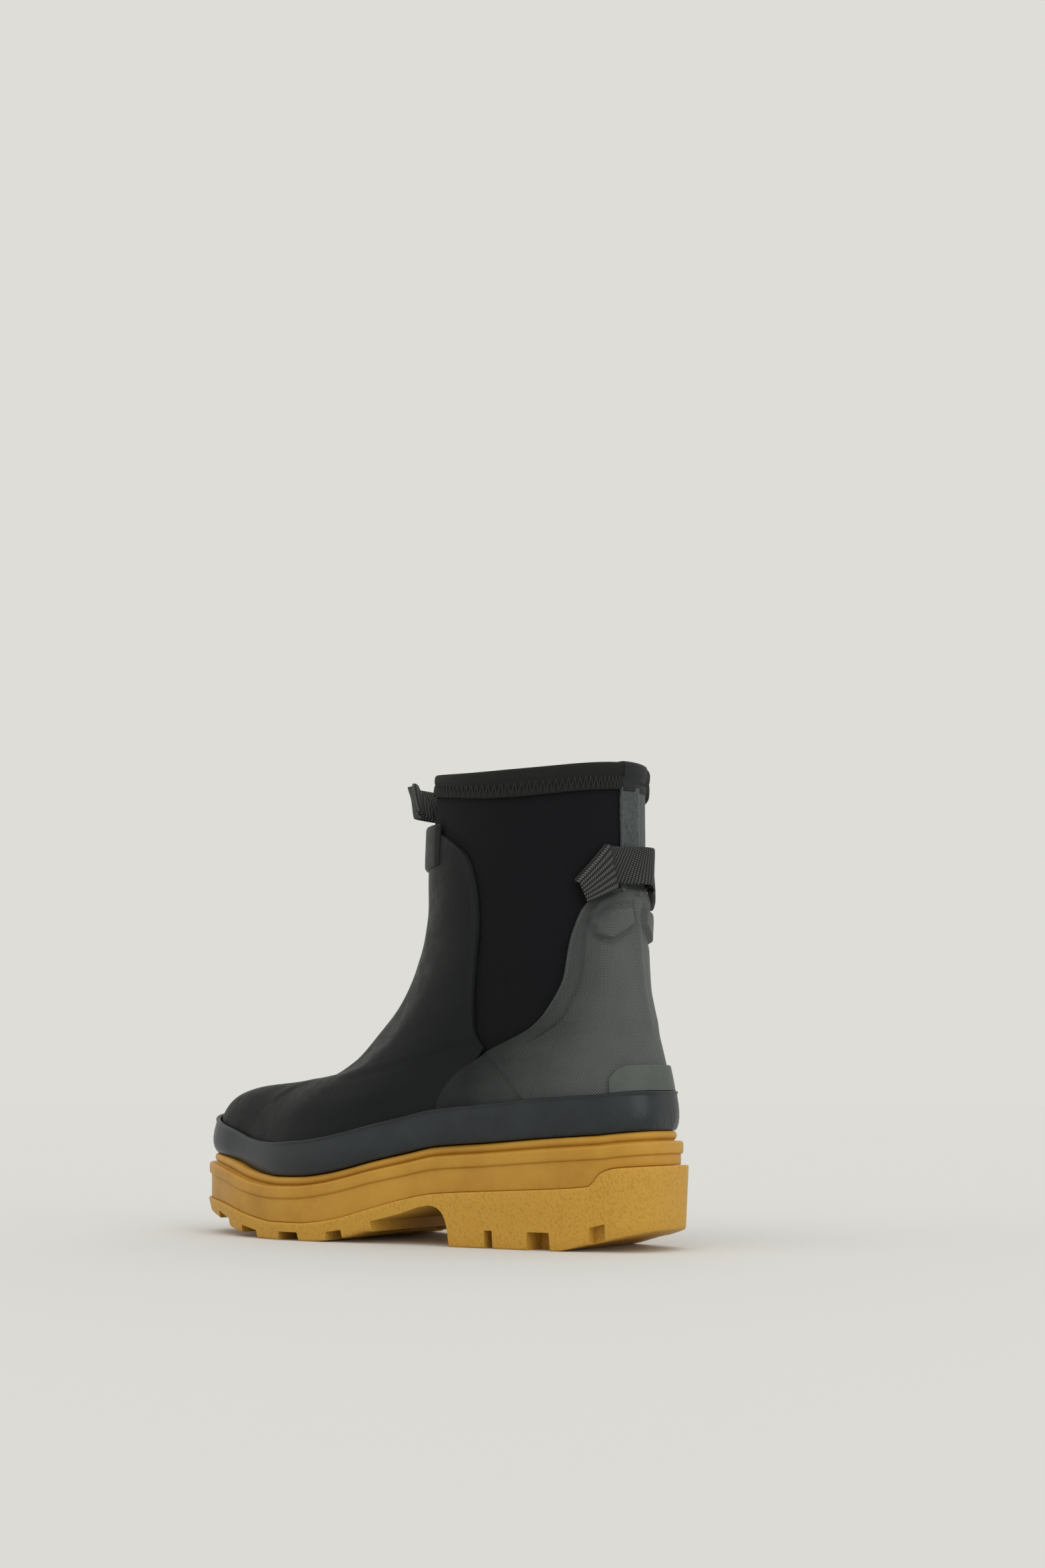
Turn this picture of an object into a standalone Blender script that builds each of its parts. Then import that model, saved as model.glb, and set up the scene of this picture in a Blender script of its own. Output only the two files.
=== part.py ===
# A left rubber ankle boot on a thick moulded sole, seen empty and standing.
# The toe points along +X, the wearer's outer side is +Y and +Z is up.
import math

import bmesh
import bpy
from mathutils import Vector

# Driving sizes, in metres
length = 0.2885
ball_width = 0.108
collar_height = 0.229
stack_height = 0.0555
toe_height = 0.0425
lug_depth = 0.0043
clearance = 0.0003
skin_gap = 0.00045
upper_wall = 0.0028
vamp_wall = 0.0016
counter_wall = 0.0020
foxing_wall = 0.0018
patch_wall = 0.0014
strip_wall = 0.0014
tab_wall = 0.0016
binding_wall = 0.0018
insole_thickness = 0.0040
heel_panel_proud = 0.0024
bead_setback = 0.0030
bead_height = 0.0042
bead_round = 0.0018
rim_height = 0.0060
wall_setback = 0.0011
seat_inset = 0.0040
webbing_width = 0.0175
front_webbing_width = 0.0152
webbing_thickness = 0.0015
webbing_bend = 0.0011
back_loop_rise = 0.0101
back_loop_reach = 0.0100
front_loop_rise = 0.0126
front_loop_reach = 0.0190
front_loop_lean = 0.0026
back_strip_width = 0.0190

# How many faces go round the boot, and how many of them on each side the counter covers
around = 44
rear_columns = 9
column_step = 2 / around
half_ball = ball_width / 2
shaft_height = collar_height - stack_height
front_height = collar_height - toe_height

# Outline of the sole. Columns: share of the length from the heel, and the half widths
# on the outer and the inner side as shares of half the ball width
outline_rows = [
    (0.00, 0.76, 0.76), (0.12, 0.79, 0.78), (0.28, 0.77, 0.75), (0.42, 0.81, 0.70),
    (0.58, 0.94, 0.81), (0.70, 1.03, 0.96), (0.82, 1.01, 1.02), (0.92, 0.92, 1.03),
    (1.00, 0.83, 0.98),
]
outline_rounding = 0.62

# Side of the sole. Columns: share of the length from the heel, and heights as shares
# of the stack height: top of the sole, top of the tread layer, underside
sole_rows = [
    (0.000, 1.010, 0.720, 0.180), (0.050, 0.985, 0.700, 0.118), (0.070, 0.972, 0.665, 0.088),
    (0.092, 0.964, 0.545, 0.060), (0.150, 0.945, 0.520, 0.000), (0.280, 0.895, 0.486, 0.000),
    (0.380, 0.860, 0.455, 0.000), (0.440, 0.800, 0.400, 0.050), (0.510, 0.725, 0.305, 0.110),
    (0.565, 0.655, 0.225, 0.042), (0.620, 0.600, 0.175, 0.004), (0.660, 0.577, 0.160, 0.000),
    (0.720, 0.570, 0.160, 0.000), (0.765, 0.588, 0.185, 0.002), (0.815, 0.630, 0.230, 0.045),
    (0.855, 0.680, 0.275, 0.082), (0.905, 0.725, 0.312, 0.148), (0.950, 0.752, 0.330, 0.188),
    (1.000, 0.765, 0.345, 0.215),
]

# Sections of the upper, each a tilted ring from the heel to the front. Columns: level,
# heel place, heel rise, front place, front rise, half widths at the heel, the outer and
# inner waist, the outer and inner ball and the outer and inner toe, rounding, and how
# much of the sole's curve the ring keeps. Places are shares of the length, rises of the
# height above the sole, and widths of half the ball width
section_rows = [
    (0.00, 0.036, 0.000, 0.967, 0.000, 0.64, 0.69, 0.56, 0.88, 0.81, 0.73, 0.83, 0.62, 1.00),
    (0.05, 0.034, 0.040, 0.974, 0.040, 0.66, 0.71, 0.61, 0.90, 0.84, 0.74, 0.85, 0.62, 1.00),
    (0.10, 0.035, 0.084, 0.971, 0.086, 0.68, 0.71, 0.65, 0.88, 0.83, 0.72, 0.83, 0.64, 0.95),
    (0.15, 0.039, 0.130, 0.958, 0.128, 0.68, 0.71, 0.67, 0.84, 0.81, 0.68, 0.79, 0.67, 0.85),
    (0.20, 0.044, 0.176, 0.932, 0.158, 0.67, 0.71, 0.67, 0.80, 0.77, 0.62, 0.70, 0.71, 0.70),
    (0.26, 0.052, 0.233, 0.882, 0.176, 0.67, 0.70, 0.68, 0.73, 0.71, 0.56, 0.63, 0.76, 0.50),
    (0.32, 0.062, 0.291, 0.815, 0.181, 0.67, 0.70, 0.68, 0.69, 0.68, 0.55, 0.58, 0.80, 0.30),
    (0.38, 0.069, 0.337, 0.742, 0.188, 0.68, 0.71, 0.69, 0.69, 0.67, 0.52, 0.55, 0.85, 0.12),
    (0.44, 0.075, 0.383, 0.667, 0.234, 0.69, 0.71, 0.70, 0.69, 0.67, 0.54, 0.56, 0.90, 0.00),
    (0.50, 0.078, 0.429, 0.600, 0.316, 0.70, 0.72, 0.71, 0.69, 0.68, 0.57, 0.58, 0.94, 0.00),
    (0.56, 0.081, 0.476, 0.546, 0.394, 0.72, 0.73, 0.73, 0.71, 0.70, 0.63, 0.63, 0.97, 0.00),
    (0.62, 0.083, 0.522, 0.506, 0.483, 0.73, 0.75, 0.74, 0.73, 0.73, 0.69, 0.69, 1.00, 0.00),
    (0.70, 0.083, 0.591, 0.480, 0.571, 0.75, 0.77, 0.77, 0.76, 0.76, 0.74, 0.74, 1.00, 0.00),
    (0.78, 0.083, 0.671, 0.469, 0.662, 0.77, 0.79, 0.79, 0.79, 0.79, 0.77, 0.77, 1.00, 0.00),
    (0.86, 0.081, 0.775, 0.467, 0.769, 0.77, 0.80, 0.80, 0.80, 0.80, 0.79, 0.79, 1.00, 0.00),
    (0.93, 0.082, 0.879, 0.463, 0.881, 0.78, 0.81, 0.81, 0.80, 0.80, 0.79, 0.79, 1.00, 0.00),
    (1.00, 0.080, 0.985, 0.454, 1.005, 0.78, 0.81, 0.81, 0.80, 0.80, 0.79, 0.79, 1.00, 0.00),
]
upper_levels = [
    0.00, 0.05, 0.10, 0.15, 0.20, 0.25, 0.30, 0.35, 0.40, 0.45, 0.50, 0.55, 0.61, 0.68,
    0.76, 0.84, 0.92, 1.00,
]

# Edges on the upper. Columns: level, and turn, which is 0 at the heel and 1 at the toe
vamp_edge_rows = [
    (0.00, 0.47), (0.30, 0.405), (0.41, 0.435), (0.61, 0.495), (0.76, 0.51), (0.81, 0.52),
    (0.855, 0.54), (0.89, 0.59), (0.911, 0.66),
]
counter_edge_rows = [
    (0.00, 0.440), (0.12, 0.439), (0.17, 0.434), (0.228, 0.421), (0.262, 0.406), (0.294, 0.392),
    (0.32, 0.370), (0.36, 0.34), (0.43, 0.315), (0.51, 0.298), (0.61, 0.293), (0.672, 0.278),
    (0.722, 0.250), (0.757, 0.147), (0.765, 0.11),
]
counter_top = 0.765
crossing_level = 0.300
foxing_top_rows = [
    (0.00, 0.120), (0.30, 0.122), (0.45, 0.114), (0.58, 0.104), (0.70, 0.091), (0.80, 0.099),
    (0.90, 0.113), (1.00, 0.122),
]
vamp_top = 0.911
heel_patch_top = 0.197
heel_patch_turn = 0.19
binding_bottom = 0.957
binding_crown = 0.0015
collar_dip = 0.0055
binding_edge_rows = [(0.00, binding_bottom), (0.40, binding_bottom), (0.64, 0.969), (1.00, 0.978)]
tab_bottom = 0.848
tab_top = 0.925
tab_turn = 0.64

# Raised forms on the skins
seam_ridge = 0.0012
anchor_rise = 0.0016
edge_ridge = 0.0010
lip_rise = 0.0008
layer_slack = 0.0003
counter_gap_turn = 0.006
strip_margin = 0.006
patch_margin = 0.004

# Small roundings
rim_round = 0.0010
tread_round = 0.0022
tread_proud = 0.0003
insole_round = 0.0012

# Half widths of the plain middle of the tread, on the outer and the inner side
tread_middle_outer = 0.026
tread_middle_inner = 0.024


# Read one column of a table at a place between its rows, without overshoot.
def read_table(rows, column, at):
    if at <= rows[0][0]:
        return rows[0][column]
    if at >= rows[-1][0]:
        return rows[-1][column]
    i = 0
    while rows[i + 1][0] < at:
        i += 1
    step = rows[i + 1][0] - rows[i][0]
    rise = (rows[i + 1][column] - rows[i][column]) / step

    def slope(k):
        if k == 0 or k == len(rows) - 1:
            return rise
        before = (rows[k][column] - rows[k - 1][column]) / (rows[k][0] - rows[k - 1][0])
        after = (rows[k + 1][column] - rows[k][column]) / (rows[k + 1][0] - rows[k][0])
        if before * after <= 0:
            return 0.0
        return 2 * before * after / (before + after)

    first = slope(i)
    last = slope(i + 1)
    t = (at - rows[i][0]) / step
    value = rows[i][column] + step * t * first
    value += step * t * t * (3 * rise - 2 * first - last)
    return value + step * t * t * t * (first + last - 2 * rise)


def smooth_step(value):
    value = max(0, min(1, value))
    return value * value * (3 - 2 * value)


# Angle from the heel for a turn from -1 to 1, with finer steps at the heel and toe.
def ring_angle(turn):
    size = abs(turn)
    angle = math.pi * (0.5 * size + 0.5 * (1 - math.cos(math.pi * size)) / 2)
    return math.copysign(angle, turn)


def wrap(turn):
    return (turn + 1) % 2 - 1


turns = [-1 + column_step * k for k in range(around)]


# Turn at which a share of the sole's length is reached.
def turn_at(place):
    low = 0.0
    high = 1.0
    for _ in range(30):
        middle = (low + high) / 2
        if (1 - math.cos(ring_angle(middle))) / 2 < place:
            low = middle
        else:
            high = middle
    return low


# The sole has extra faces at both ends of the slanted step at its heel
step_places = [0.047, 0.070, 0.092]
step_turns = [turn_at(place) for place in step_places]
nearest_turn = 0.4 * column_step
kept_turns = [turn for turn in turns
              if min(abs(abs(turn) - step) for step in step_turns) > nearest_turn]
sole_turns = sorted(kept_turns + step_turns + [-turn for turn in step_turns])


def sole_height(column, place):
    return stack_height * read_table(sole_rows, column, place)


def sole_top(place):
    return sole_height(1, place)


# A point on the sole's outline, grown outwards, at the height that a function gives.
def sole_point(turn, grow, height):
    angle = ring_angle(turn)
    along = (1 - math.cos(angle)) / 2
    side = math.sin(angle)
    column = 1 if side >= 0 else 2
    half = half_ball * read_table(outline_rows, column, along) + grow
    back = heel_panel_proud - grow
    x = back + (length + grow - back) * along
    y = math.copysign(half * abs(side) ** outline_rounding, side)
    return Vector((x, y, height(along)))


# Height of the sole's top, inside its bead, where the upper stands.
def seat_height(x):
    start = heel_panel_proud + bead_setback + bead_round
    return sole_top((x - start) / (length - bead_setback - bead_round - start))


# A point on the outside of the hollow upper.
def shell(turn, level):
    angle = ring_angle(wrap(turn))
    along = (1 - math.cos(angle)) / 2
    side = math.sin(angle)
    row = [read_table(section_rows, column, level) for column in range(1, 14)]
    outer = side >= 0
    widths = [
        (0.00, row[4]), (0.18, row[4]), (0.42, row[5] if outer else row[6]),
        (0.70, row[7] if outer else row[8]), (0.90, row[9] if outer else row[10]),
        (1.00, row[9] if outer else row[10]),
    ]
    half = half_ball * read_table(widths, 1, along)
    x = length * (row[0] + (row[2] - row[0]) * along)
    y = math.copysign(half * abs(side) ** row[11], side)
    low_heel = length * section_rows[0][1]
    low_front = length * section_rows[0][3]
    base = seat_height(low_heel + (low_front - low_heel) * along)
    at_heel = seat_height(low_heel)
    chord = at_heel + (seat_height(low_front) - at_heel) * along
    rise = row[1] * shaft_height + (row[3] * front_height - row[1] * shaft_height) * along
    dip = collar_dip * side * side * smooth_step((level - 0.80) / 0.20)
    z = chord + rise + (base - chord) * row[12] + skin_gap - dip
    return Vector((x, y, z))


# Unit normal of the upper, level with the floor at its lower edge.
def outward(turn, level):
    small = 0.002
    across = shell(turn + small, level) - shell(turn - small, level)
    up = shell(turn, min(1, level + small)) - shell(turn, max(0, level - small))
    normal = across.cross(up)
    normal.normalize()
    if normal.dot(shell(turn, level) - Vector((0.30 * length, 0, shell(turn, level).z))) < 0:
        normal.negate()
    normal.z *= min(1, level / 0.08)
    return normal.normalized()


# A point off the upper. On its lowest ring it stays just above the sole.
def on_shell(turn, level, offset):
    point = shell(turn, level) + outward(turn, level) * offset
    if level == 0:
        point.z = seat_height(point.x) + skin_gap
    return point


# Level of the ring that passes a height at one turn.
def level_at(turn, height):
    low = 0.0
    high = 1.0
    for _ in range(24):
        middle = (low + high) / 2
        if shell(turn, middle).z < height:
            low = middle
        else:
            high = middle
    return (low + high) / 2


def spread(start, stop, count):
    return [start + (stop - start) * k / (count - 1) for k in range(count)]


def make_material(name, colour, roughness):
    material = bpy.data.materials.new(name)
    material.use_nodes = True
    shader = material.node_tree.nodes["Principled BSDF"]
    shader.inputs["Base Color"].default_value = (*colour, 1)
    shader.inputs["Roughness"].default_value = roughness
    shader.inputs["Metallic"].default_value = 0
    material.diffuse_color = (*colour, 1)
    return material


# Make an object from a mesh that build fills, with its faces pointing out.
def make_object(name, build, material, sharp_degrees=40):
    bm = bmesh.new()
    build(bm)
    bmesh.ops.recalc_face_normals(bm, faces=bm.faces)
    mesh = bpy.data.meshes.new(name)
    bm.to_mesh(mesh)
    bm.free()
    mesh.shade_smooth()
    mesh.set_sharp_from_angle(angle=math.radians(sharp_degrees))
    made = bpy.data.objects.new(name, mesh)
    made.data.materials.append(material)
    boot_parts.objects.link(made)
    made.parent = boot_frame
    return made


# A solid between two matching sheets of points, closed round or with two ends.
def shell_between(name, outer, inner, closed, material):
    def build(bm):
        out = [[bm.verts.new(point) for point in column] for column in outer]
        into = [[bm.verts.new(point) for point in column] for column in inner]
        count = len(out)
        last = len(out[0]) - 1
        for i in range(count if closed else count - 1):
            k = (i + 1) % count
            for j in range(last):
                bm.faces.new((out[i][j], out[k][j], out[k][j + 1], out[i][j + 1]))
                bm.faces.new((into[i][j + 1], into[k][j + 1], into[k][j], into[i][j]))
            bm.faces.new((into[i][0], into[k][0], out[k][0], out[i][0]))
            bm.faces.new((out[i][last], out[k][last], into[k][last], into[i][last]))
        if not closed:
            for j in range(last):
                bm.faces.new((out[0][j], out[0][j + 1], into[0][j + 1], into[0][j]))
                bm.faces.new((into[-1][j], into[-1][j + 1], out[-1][j + 1], out[-1][j]))
    return make_object(name, build, material)


# A solid through level rings of points, with ruled faces across its two ends.
def stack_of_rings(name, rings, material):
    def build(bm):
        made = [[bm.verts.new(point) for point in ring] for ring in rings]
        count = len(rings[0])
        middle = count // 2
        for low, high in zip(made, made[1:]):
            for i in range(count):
                k = (i + 1) % count
                bm.faces.new((low[i], low[k], high[k], high[i]))
        for ring in (made[0], made[-1]):
            for i in range(1, middle - 1):
                bm.faces.new((ring[i], ring[i + 1], ring[count - i - 1], ring[count - i]))
            bm.faces.new((ring[0], ring[1], ring[count - 1]))
            bm.faces.new((ring[middle - 1], ring[middle], ring[middle + 1]))
    return make_object(name, build, material)


# A skin over the upper. places holds columns of turn and level, and inner and outer
# give its two offsets from the upper at each.
def laid_patch(name, places, inner, outer, material, closed=False):
    out = [[on_shell(t, v, outer(t, v)) for t, v in column] for column in places]
    into = [[on_shell(t, v, inner(t, v)) for t, v in column] for column in places]
    return shell_between(name, out, into, closed, material)


def constant(value):
    return lambda turn, level: value


# Layers over the upper, from the inside out
layer_inner = skin_gap + layer_slack
vamp_outer = layer_inner + vamp_wall
counter_outer = layer_inner + counter_wall
foxing_inner = counter_outer + skin_gap
foxing_outer = foxing_inner + foxing_wall


# The knitted inner boot: one hollow wall from the sole to the collar.
def add_upper():
    places = [[(turn, level) for level in upper_levels] for turn in turns]
    laid_patch("upper", places, constant(-upper_wall), constant(0), knit, closed=True)


def counter_edge(level):
    return read_table(counter_edge_rows, 1, level)


# Rear edge of the vamp, which stops just short of the counter low down.
def vamp_edge(level):
    own = read_table(vamp_edge_rows, 1, level)
    if level > crossing_level:
        return own
    return counter_edge(level) + counter_gap_turn


# The moulded rubber front, from the foxing up to the tab.
def add_vamp():
    levels = [level for level in upper_levels if level < 0.84]
    levels += [0.825, 0.80, 0.855, 0.873, 0.886, 0.896, vamp_top]
    levels.sort()
    start = rear_columns * column_step
    last = around - 2 * rear_columns
    places = []
    for column in range(last + 1):
        from_edge = min(column, last - column)
        side = 1 if column <= from_edge else -1
        place = start + from_edge * column_step
        row = []
        for level in levels:
            reach = 3 + 60 * max(0, level - 0.80)
            shift = (vamp_edge(level) - start) * max(0, 1 - from_edge / reach)
            turn = place + shift
            row.append((turn if side > 0 else 2 - turn, level))
        places.append(row)
    laid_patch("vamp", places, constant(layer_inner), constant(vamp_outer), satin_rubber)


# How far the counter stands out: a ridge up the back and two folded anchors.
def counter_rise(turn, level):
    turn = abs(wrap(turn))
    fade = 1 - smooth_step((level - 0.60) / 0.08)
    ridge = seam_ridge * fade * smooth_step((level - 0.22) / 0.10) * math.exp(-(turn / 0.03) ** 2)
    across = smooth_step((turn - 0.08) / 0.03) * smooth_step((0.24 - turn) / 0.03)
    upward = smooth_step((level - 0.63) / 0.03) * smooth_step((0.74 - level) / 0.02)
    near_edge = (counter_edge(level) - turn - 0.035) / 0.012
    inner_ridge = edge_ridge * math.exp(-near_edge ** 2) * smooth_step((level - 0.25) / 0.05)
    return counter_outer + ridge + anchor_rise * across * upward + inner_ridge * fade


# The moulded rubber back, up to the folded ends of the rear loop.
def add_counter():
    levels = [level for level in upper_levels if level < 0.70]
    levels += [0.65, 0.70, 0.725, 0.745, counter_top]
    levels.sort()
    edge = rear_columns * column_step
    places = []
    for column in range(-rear_columns, rear_columns + 1):
        row = []
        for level in levels:
            reach = min(rear_columns, 3 + 8 * level)
            share = max(0, 1 - (rear_columns - abs(column)) / reach)
            turn = abs(column) * column_step + (counter_edge(level) - edge) * share
            row.append((math.copysign(turn, column), level))
        places.append(row)
    laid_patch("heel_counter", places, constant(layer_inner), counter_rise, counter_rubber)


def foxing_top(turn):
    return read_table(foxing_top_rows, 1, abs(wrap(turn)))


# The glued band round the foot of the upper, with a thin lip at its top.
def add_foxing():
    profile = [(0.0, -0.75), (0.30, 0.0), (0.65, 0.0), (0.92, -0.4), (1.0, -1.0)]
    shares = [row[0] for row in profile]
    places = [[(turn, foxing_top(turn) * share) for share in shares] for turn in turns]

    def outer(turn, level):
        return foxing_outer + lip_rise * read_table(profile, 1, level / foxing_top(turn))
    laid_patch("foxing_band", places, constant(foxing_inner), outer, dark_rubber, closed=True)


# The smooth pad over the back of the counter, just above the foxing.
def add_heel_patch():
    start = foxing_top(0) + patch_margin
    places = []
    for share in spread(-1, 1, 13):
        drop = smooth_step((abs(share) - 0.68) / 0.32) * 0.55
        top = heel_patch_top - (heel_patch_top - start) * drop
        turn = heel_patch_turn * share
        places.append([(turn, start + (top - start) * k / 3) for k in range(4)])
    over = counter_outer + seam_ridge + layer_slack / 3
    laid_patch("heel_patch", places, constant(over), constant(over + patch_wall), grey_rubber)


# The strip up the back seam, with a raised middle, from the counter to the binding.
def add_back_strip():
    low = counter_top + strip_margin
    high = binding_bottom - strip_margin
    levels = spread(low, high, 6)
    turn_each_side = back_strip_width / 2 / shaft_turn_size
    places = [[(turn_each_side * share, level) for level in levels]
              for share in (-1, -0.55, -0.25, 0, 0.25, 0.55, 1)]

    def outer(turn, level):
        middle = math.exp(-(turn / turn_each_side / 0.32) ** 2)
        return layer_inner + strip_wall * (0.85 + 0.45 * middle)
    laid_patch("back_strip", places, constant(layer_inner), outer, counter_rubber)


# The folded binding over the collar, rounded at the top.
def add_binding():
    outside = clearance + binding_wall
    inside = -upper_wall - clearance
    crown = binding_crown
    shoulder = -crown * 0.45
    half = binding_wall / 2
    outer_rows = [
        (0.0, outside - half / 2, 0), (0.3, outside, 0), (1.0, outside, shoulder),
        (1.0, outside - half, crown * 0.75), (1.0, -upper_wall / 2, crown),
        (1.0, inside - half, crown * 0.75), (1.0, inside - binding_wall, shoulder),
        (0.2, inside - binding_wall, 0),
    ]
    inner_rows = [
        (0.0, clearance, 0), (0.3, clearance, 0), (1.0, clearance, shoulder),
        (1.0, clearance, clearance), (1.0, -upper_wall / 2, clearance),
        (1.0, inside, clearance), (1.0, inside, shoulder), (0.2, inside, 0),
    ]

    def place(turn, share, offset, lift):
        foot = read_table(binding_edge_rows, 1, abs(turn))
        return on_shell(turn, foot + (1 - foot) * share, offset) + Vector((0, 0, lift))

    def sheet(rows):
        return [[place(turn, *row) for row in rows] for turn in turns]
    shell_between("collar_binding", sheet(outer_rows), sheet(inner_rows), True, binding_knit)


# The smooth cover over the roots of the front loop.
def add_front_tab():
    places = [[(turn, level) for level in spread(tab_bottom, tab_top, 4)]
              for turn in spread(tab_turn, 2 - tab_turn, 13)]

    def outer(turn, level):
        edge = min(abs(level - tab_bottom), abs(level - tab_top)) / 0.02
        return vamp_outer + skin_gap + tab_wall * (0.55 + 0.45 * smooth_step(edge))
    laid_patch("front_tab", places, constant(vamp_outer + skin_gap), outer, satin_rubber)


# Size of one unit of turn round the back of the shaft, measured between two turns
shaft_turn_size = (shell(0.1, 0.85) - shell(-0.1, 0.85)).length / 0.2

# How far to the side a loop's bar starts to leave the shaft
bar_lift = 0.8 * webbing_width


# A point off the shaft, from its distance to the side, its height and its offset.
def shaft_point(lateral, height, offset, front):
    low = 0.0
    high = 0.5
    for _ in range(20):
        middle = (low + high) / 2
        turn = 1 - middle if front else middle
        if shell(turn, level_at(turn, height)).y < abs(lateral):
            low = middle
        else:
            high = middle
    turn = 1 - low if front else low
    turn = math.copysign(turn, lateral)
    return on_shell(turn, level_at(turn, height), offset)


# A pull loop of flat webbing: two legs, rooted just over an edge of the boot, fold over
# slantwise into a level bar that stands off the shaft. The back legs lie over their bar,
# which lifts their upper corners, and the front legs lie under theirs. flat tells how
# soon the bar is fully out
def add_loop(name, front, width, edge_height, rise, root, corner, fold, reach, lean, flat):
    half = width / 2
    bar_height = edge_height + rise
    narrow = 0.905 if front else 1.0
    crease_low = Vector((1.52 * webbing_width * narrow, bar_height - half))
    crease_high = Vector((0.926 * webbing_width * narrow, bar_height + half))
    root_low = Vector((1.36 * webbing_width * narrow, edge_height + root.x))
    root_high = Vector((0.731 * webbing_width * narrow, edge_height + root.x + 0.38 * width))
    away = Vector((0.86, 0.51))
    bend = -webbing_bend if front else webbing_bend
    leg = fold + 2 * bend
    stations = []
    for share in (0, 0.5, 1):
        low = root_low.lerp(crease_low, share)
        high = root_high.lerp(crease_high, share)
        low_offset = root.y + (leg - root.y) * smooth_step(share)
        high_offset = corner + (leg - corner) * smooth_step(share)
        stations.append((low, high, low_offset, high_offset, 0.0))
    for degrees in (60, 120, 180):
        turned = math.radians(degrees)
        push = away * webbing_bend * math.sin(turned)
        offset = fold + bend + bend * math.cos(turned)
        stations.append((crease_low + push, crease_high + push, offset, offset, turned))
    for share in (0.3, 0.55, 0.8, 1.0):
        low = Vector((crease_low.x * (1 - share), crease_low.y))
        high = Vector((crease_high.x * (1 - share), crease_high.y))
        low_offset = fold + (reach - fold) * smooth_step((1 - low.x / bar_lift) * flat)
        high_offset = fold + (reach - fold) * smooth_step((1 - high.x / bar_lift) * flat)
        stations.append((low, high, low_offset, high_offset, math.pi))
    whole = [(station, 1) for station in stations]
    whole += [(station, -1) for station in reversed(stations[:-1])]
    outer = []
    inner = []
    for (low, high, low_offset, high_offset, turned), side in whole:
        out_column = []
        in_column = []
        for across in (0, 0.5, 1):
            edge = low.lerp(high, across)
            offset = low_offset + (high_offset - low_offset) * across
            thick = webbing_thickness / 2
            along = away * thick * math.sin(turned)
            lift = math.copysign(thick, bend) * math.cos(turned)
            far = edge + along
            near = edge - along
            far_x = max(far.x, 0.0) * side
            near_x = max(near.x, 0.0) * side
            tilt = lean * (edge.y - bar_height) / half
            out_column.append(shaft_point(far_x, far.y, offset + tilt + lift, front))
            in_column.append(shaft_point(near_x, near.y, offset + tilt - lift, front))
        outer.append(out_column)
        inner.append(in_column)
    shell_between(name, outer, inner, False, webbing)


# The smooth upper part of the sole: bead, groove, rim and a plain wall.
def add_midsole():
    def below_top(drop):
        return lambda place: sole_top(place) - drop

    def on_tread(place):
        return sole_height(2, place) + clearance
    rim_top = bead_height + rim_round / 2
    rim_bottom = rim_top + rim_height
    rows = [
        (-seat_inset, on_tread), (-wall_setback, on_tread),
        (-wall_setback, below_top(rim_bottom + 0.6 * rim_round)),
        (-0.1 * rim_round, below_top(rim_bottom)), (0.0, below_top(rim_top + rim_round)),
        (-0.8 * rim_round, below_top(rim_top)),
        (-bead_setback - 0.67 * bead_round, below_top(bead_height)),
        (-bead_setback, below_top(bead_height * 0.65)),
        (-bead_setback - 0.17 * bead_round, below_top(bead_height * 0.25)),
        (-bead_setback - bead_round, below_top(0)),
    ]
    rings = [[sole_point(turn, grow, height) for turn in sole_turns] for grow, height in rows]
    stack_of_rings("midsole", rings, gum_rubber)


# How far the tread layer stands beyond the rim: proud only round the heel.
def tread_grow(turn):
    place = (1 - math.cos(ring_angle(turn))) / 2
    round_heel = 1 - smooth_step((place - 0.045) / 0.05)
    return tread_proud + (heel_panel_proud - tread_proud) * round_heel


def add_cutter(name, build, target):
    bm = bmesh.new()
    build(bm)
    bmesh.ops.recalc_face_normals(bm, faces=bm.faces)
    mesh = bpy.data.meshes.new(name)
    bm.to_mesh(mesh)
    bm.free()
    cutter = bpy.data.objects.new(name, mesh)
    boot_cutters.objects.link(cutter)
    cutter.parent = boot_frame
    cutter.hide_render = True
    cutter.display_type = "WIRE"
    cut = target.modifiers.new(name, "BOOLEAN")
    cut.operation = "DIFFERENCE"
    cut.solver = "EXACT"
    cut.object = cutter
    return cutter


# The arch between heel and forefoot. Columns: share of the length, share of the stack height
arch_rows = [
    (0.356, -0.20), (0.358, 0.10), (0.363, 0.24), (0.376, 0.33), (0.394, 0.355), (0.415, 0.335),
    (0.450, 0.275), (0.508, 0.200), (0.510, -0.20),
]

# Gaps between the lugs along the edge. Columns: share of the length, share of the length wide
front_gap_rows = [
    (0.583, 0.036), (0.681, 0.052), (0.788, 0.052), (0.880, 0.052),
]
heel_gap_rows = [(0.280, 0.018), (0.186, 0.046), (0.086, 0.030)]
centre_gap_rows = [(0.545, 0.016), (0.632, 0.016), (0.735, 0.016), (0.834, 0.016)]


# Cut the arch right through from side to side.
def add_arch(outsole):
    def build(bm):
        sides = []
        for side in (-1, 1):
            sides.append([bm.verts.new((length * place, side * ball_width, stack_height * height))
                          for place, height in arch_rows])
        bm.faces.new(sides[0])
        bm.faces.new(sides[1])
        for i in range(len(arch_rows)):
            k = (i + 1) % len(arch_rows)
            bm.faces.new((sides[0][i], sides[0][k], sides[1][k], sides[1][i]))
    add_cutter("arch_cutter", build, outsole)


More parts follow.
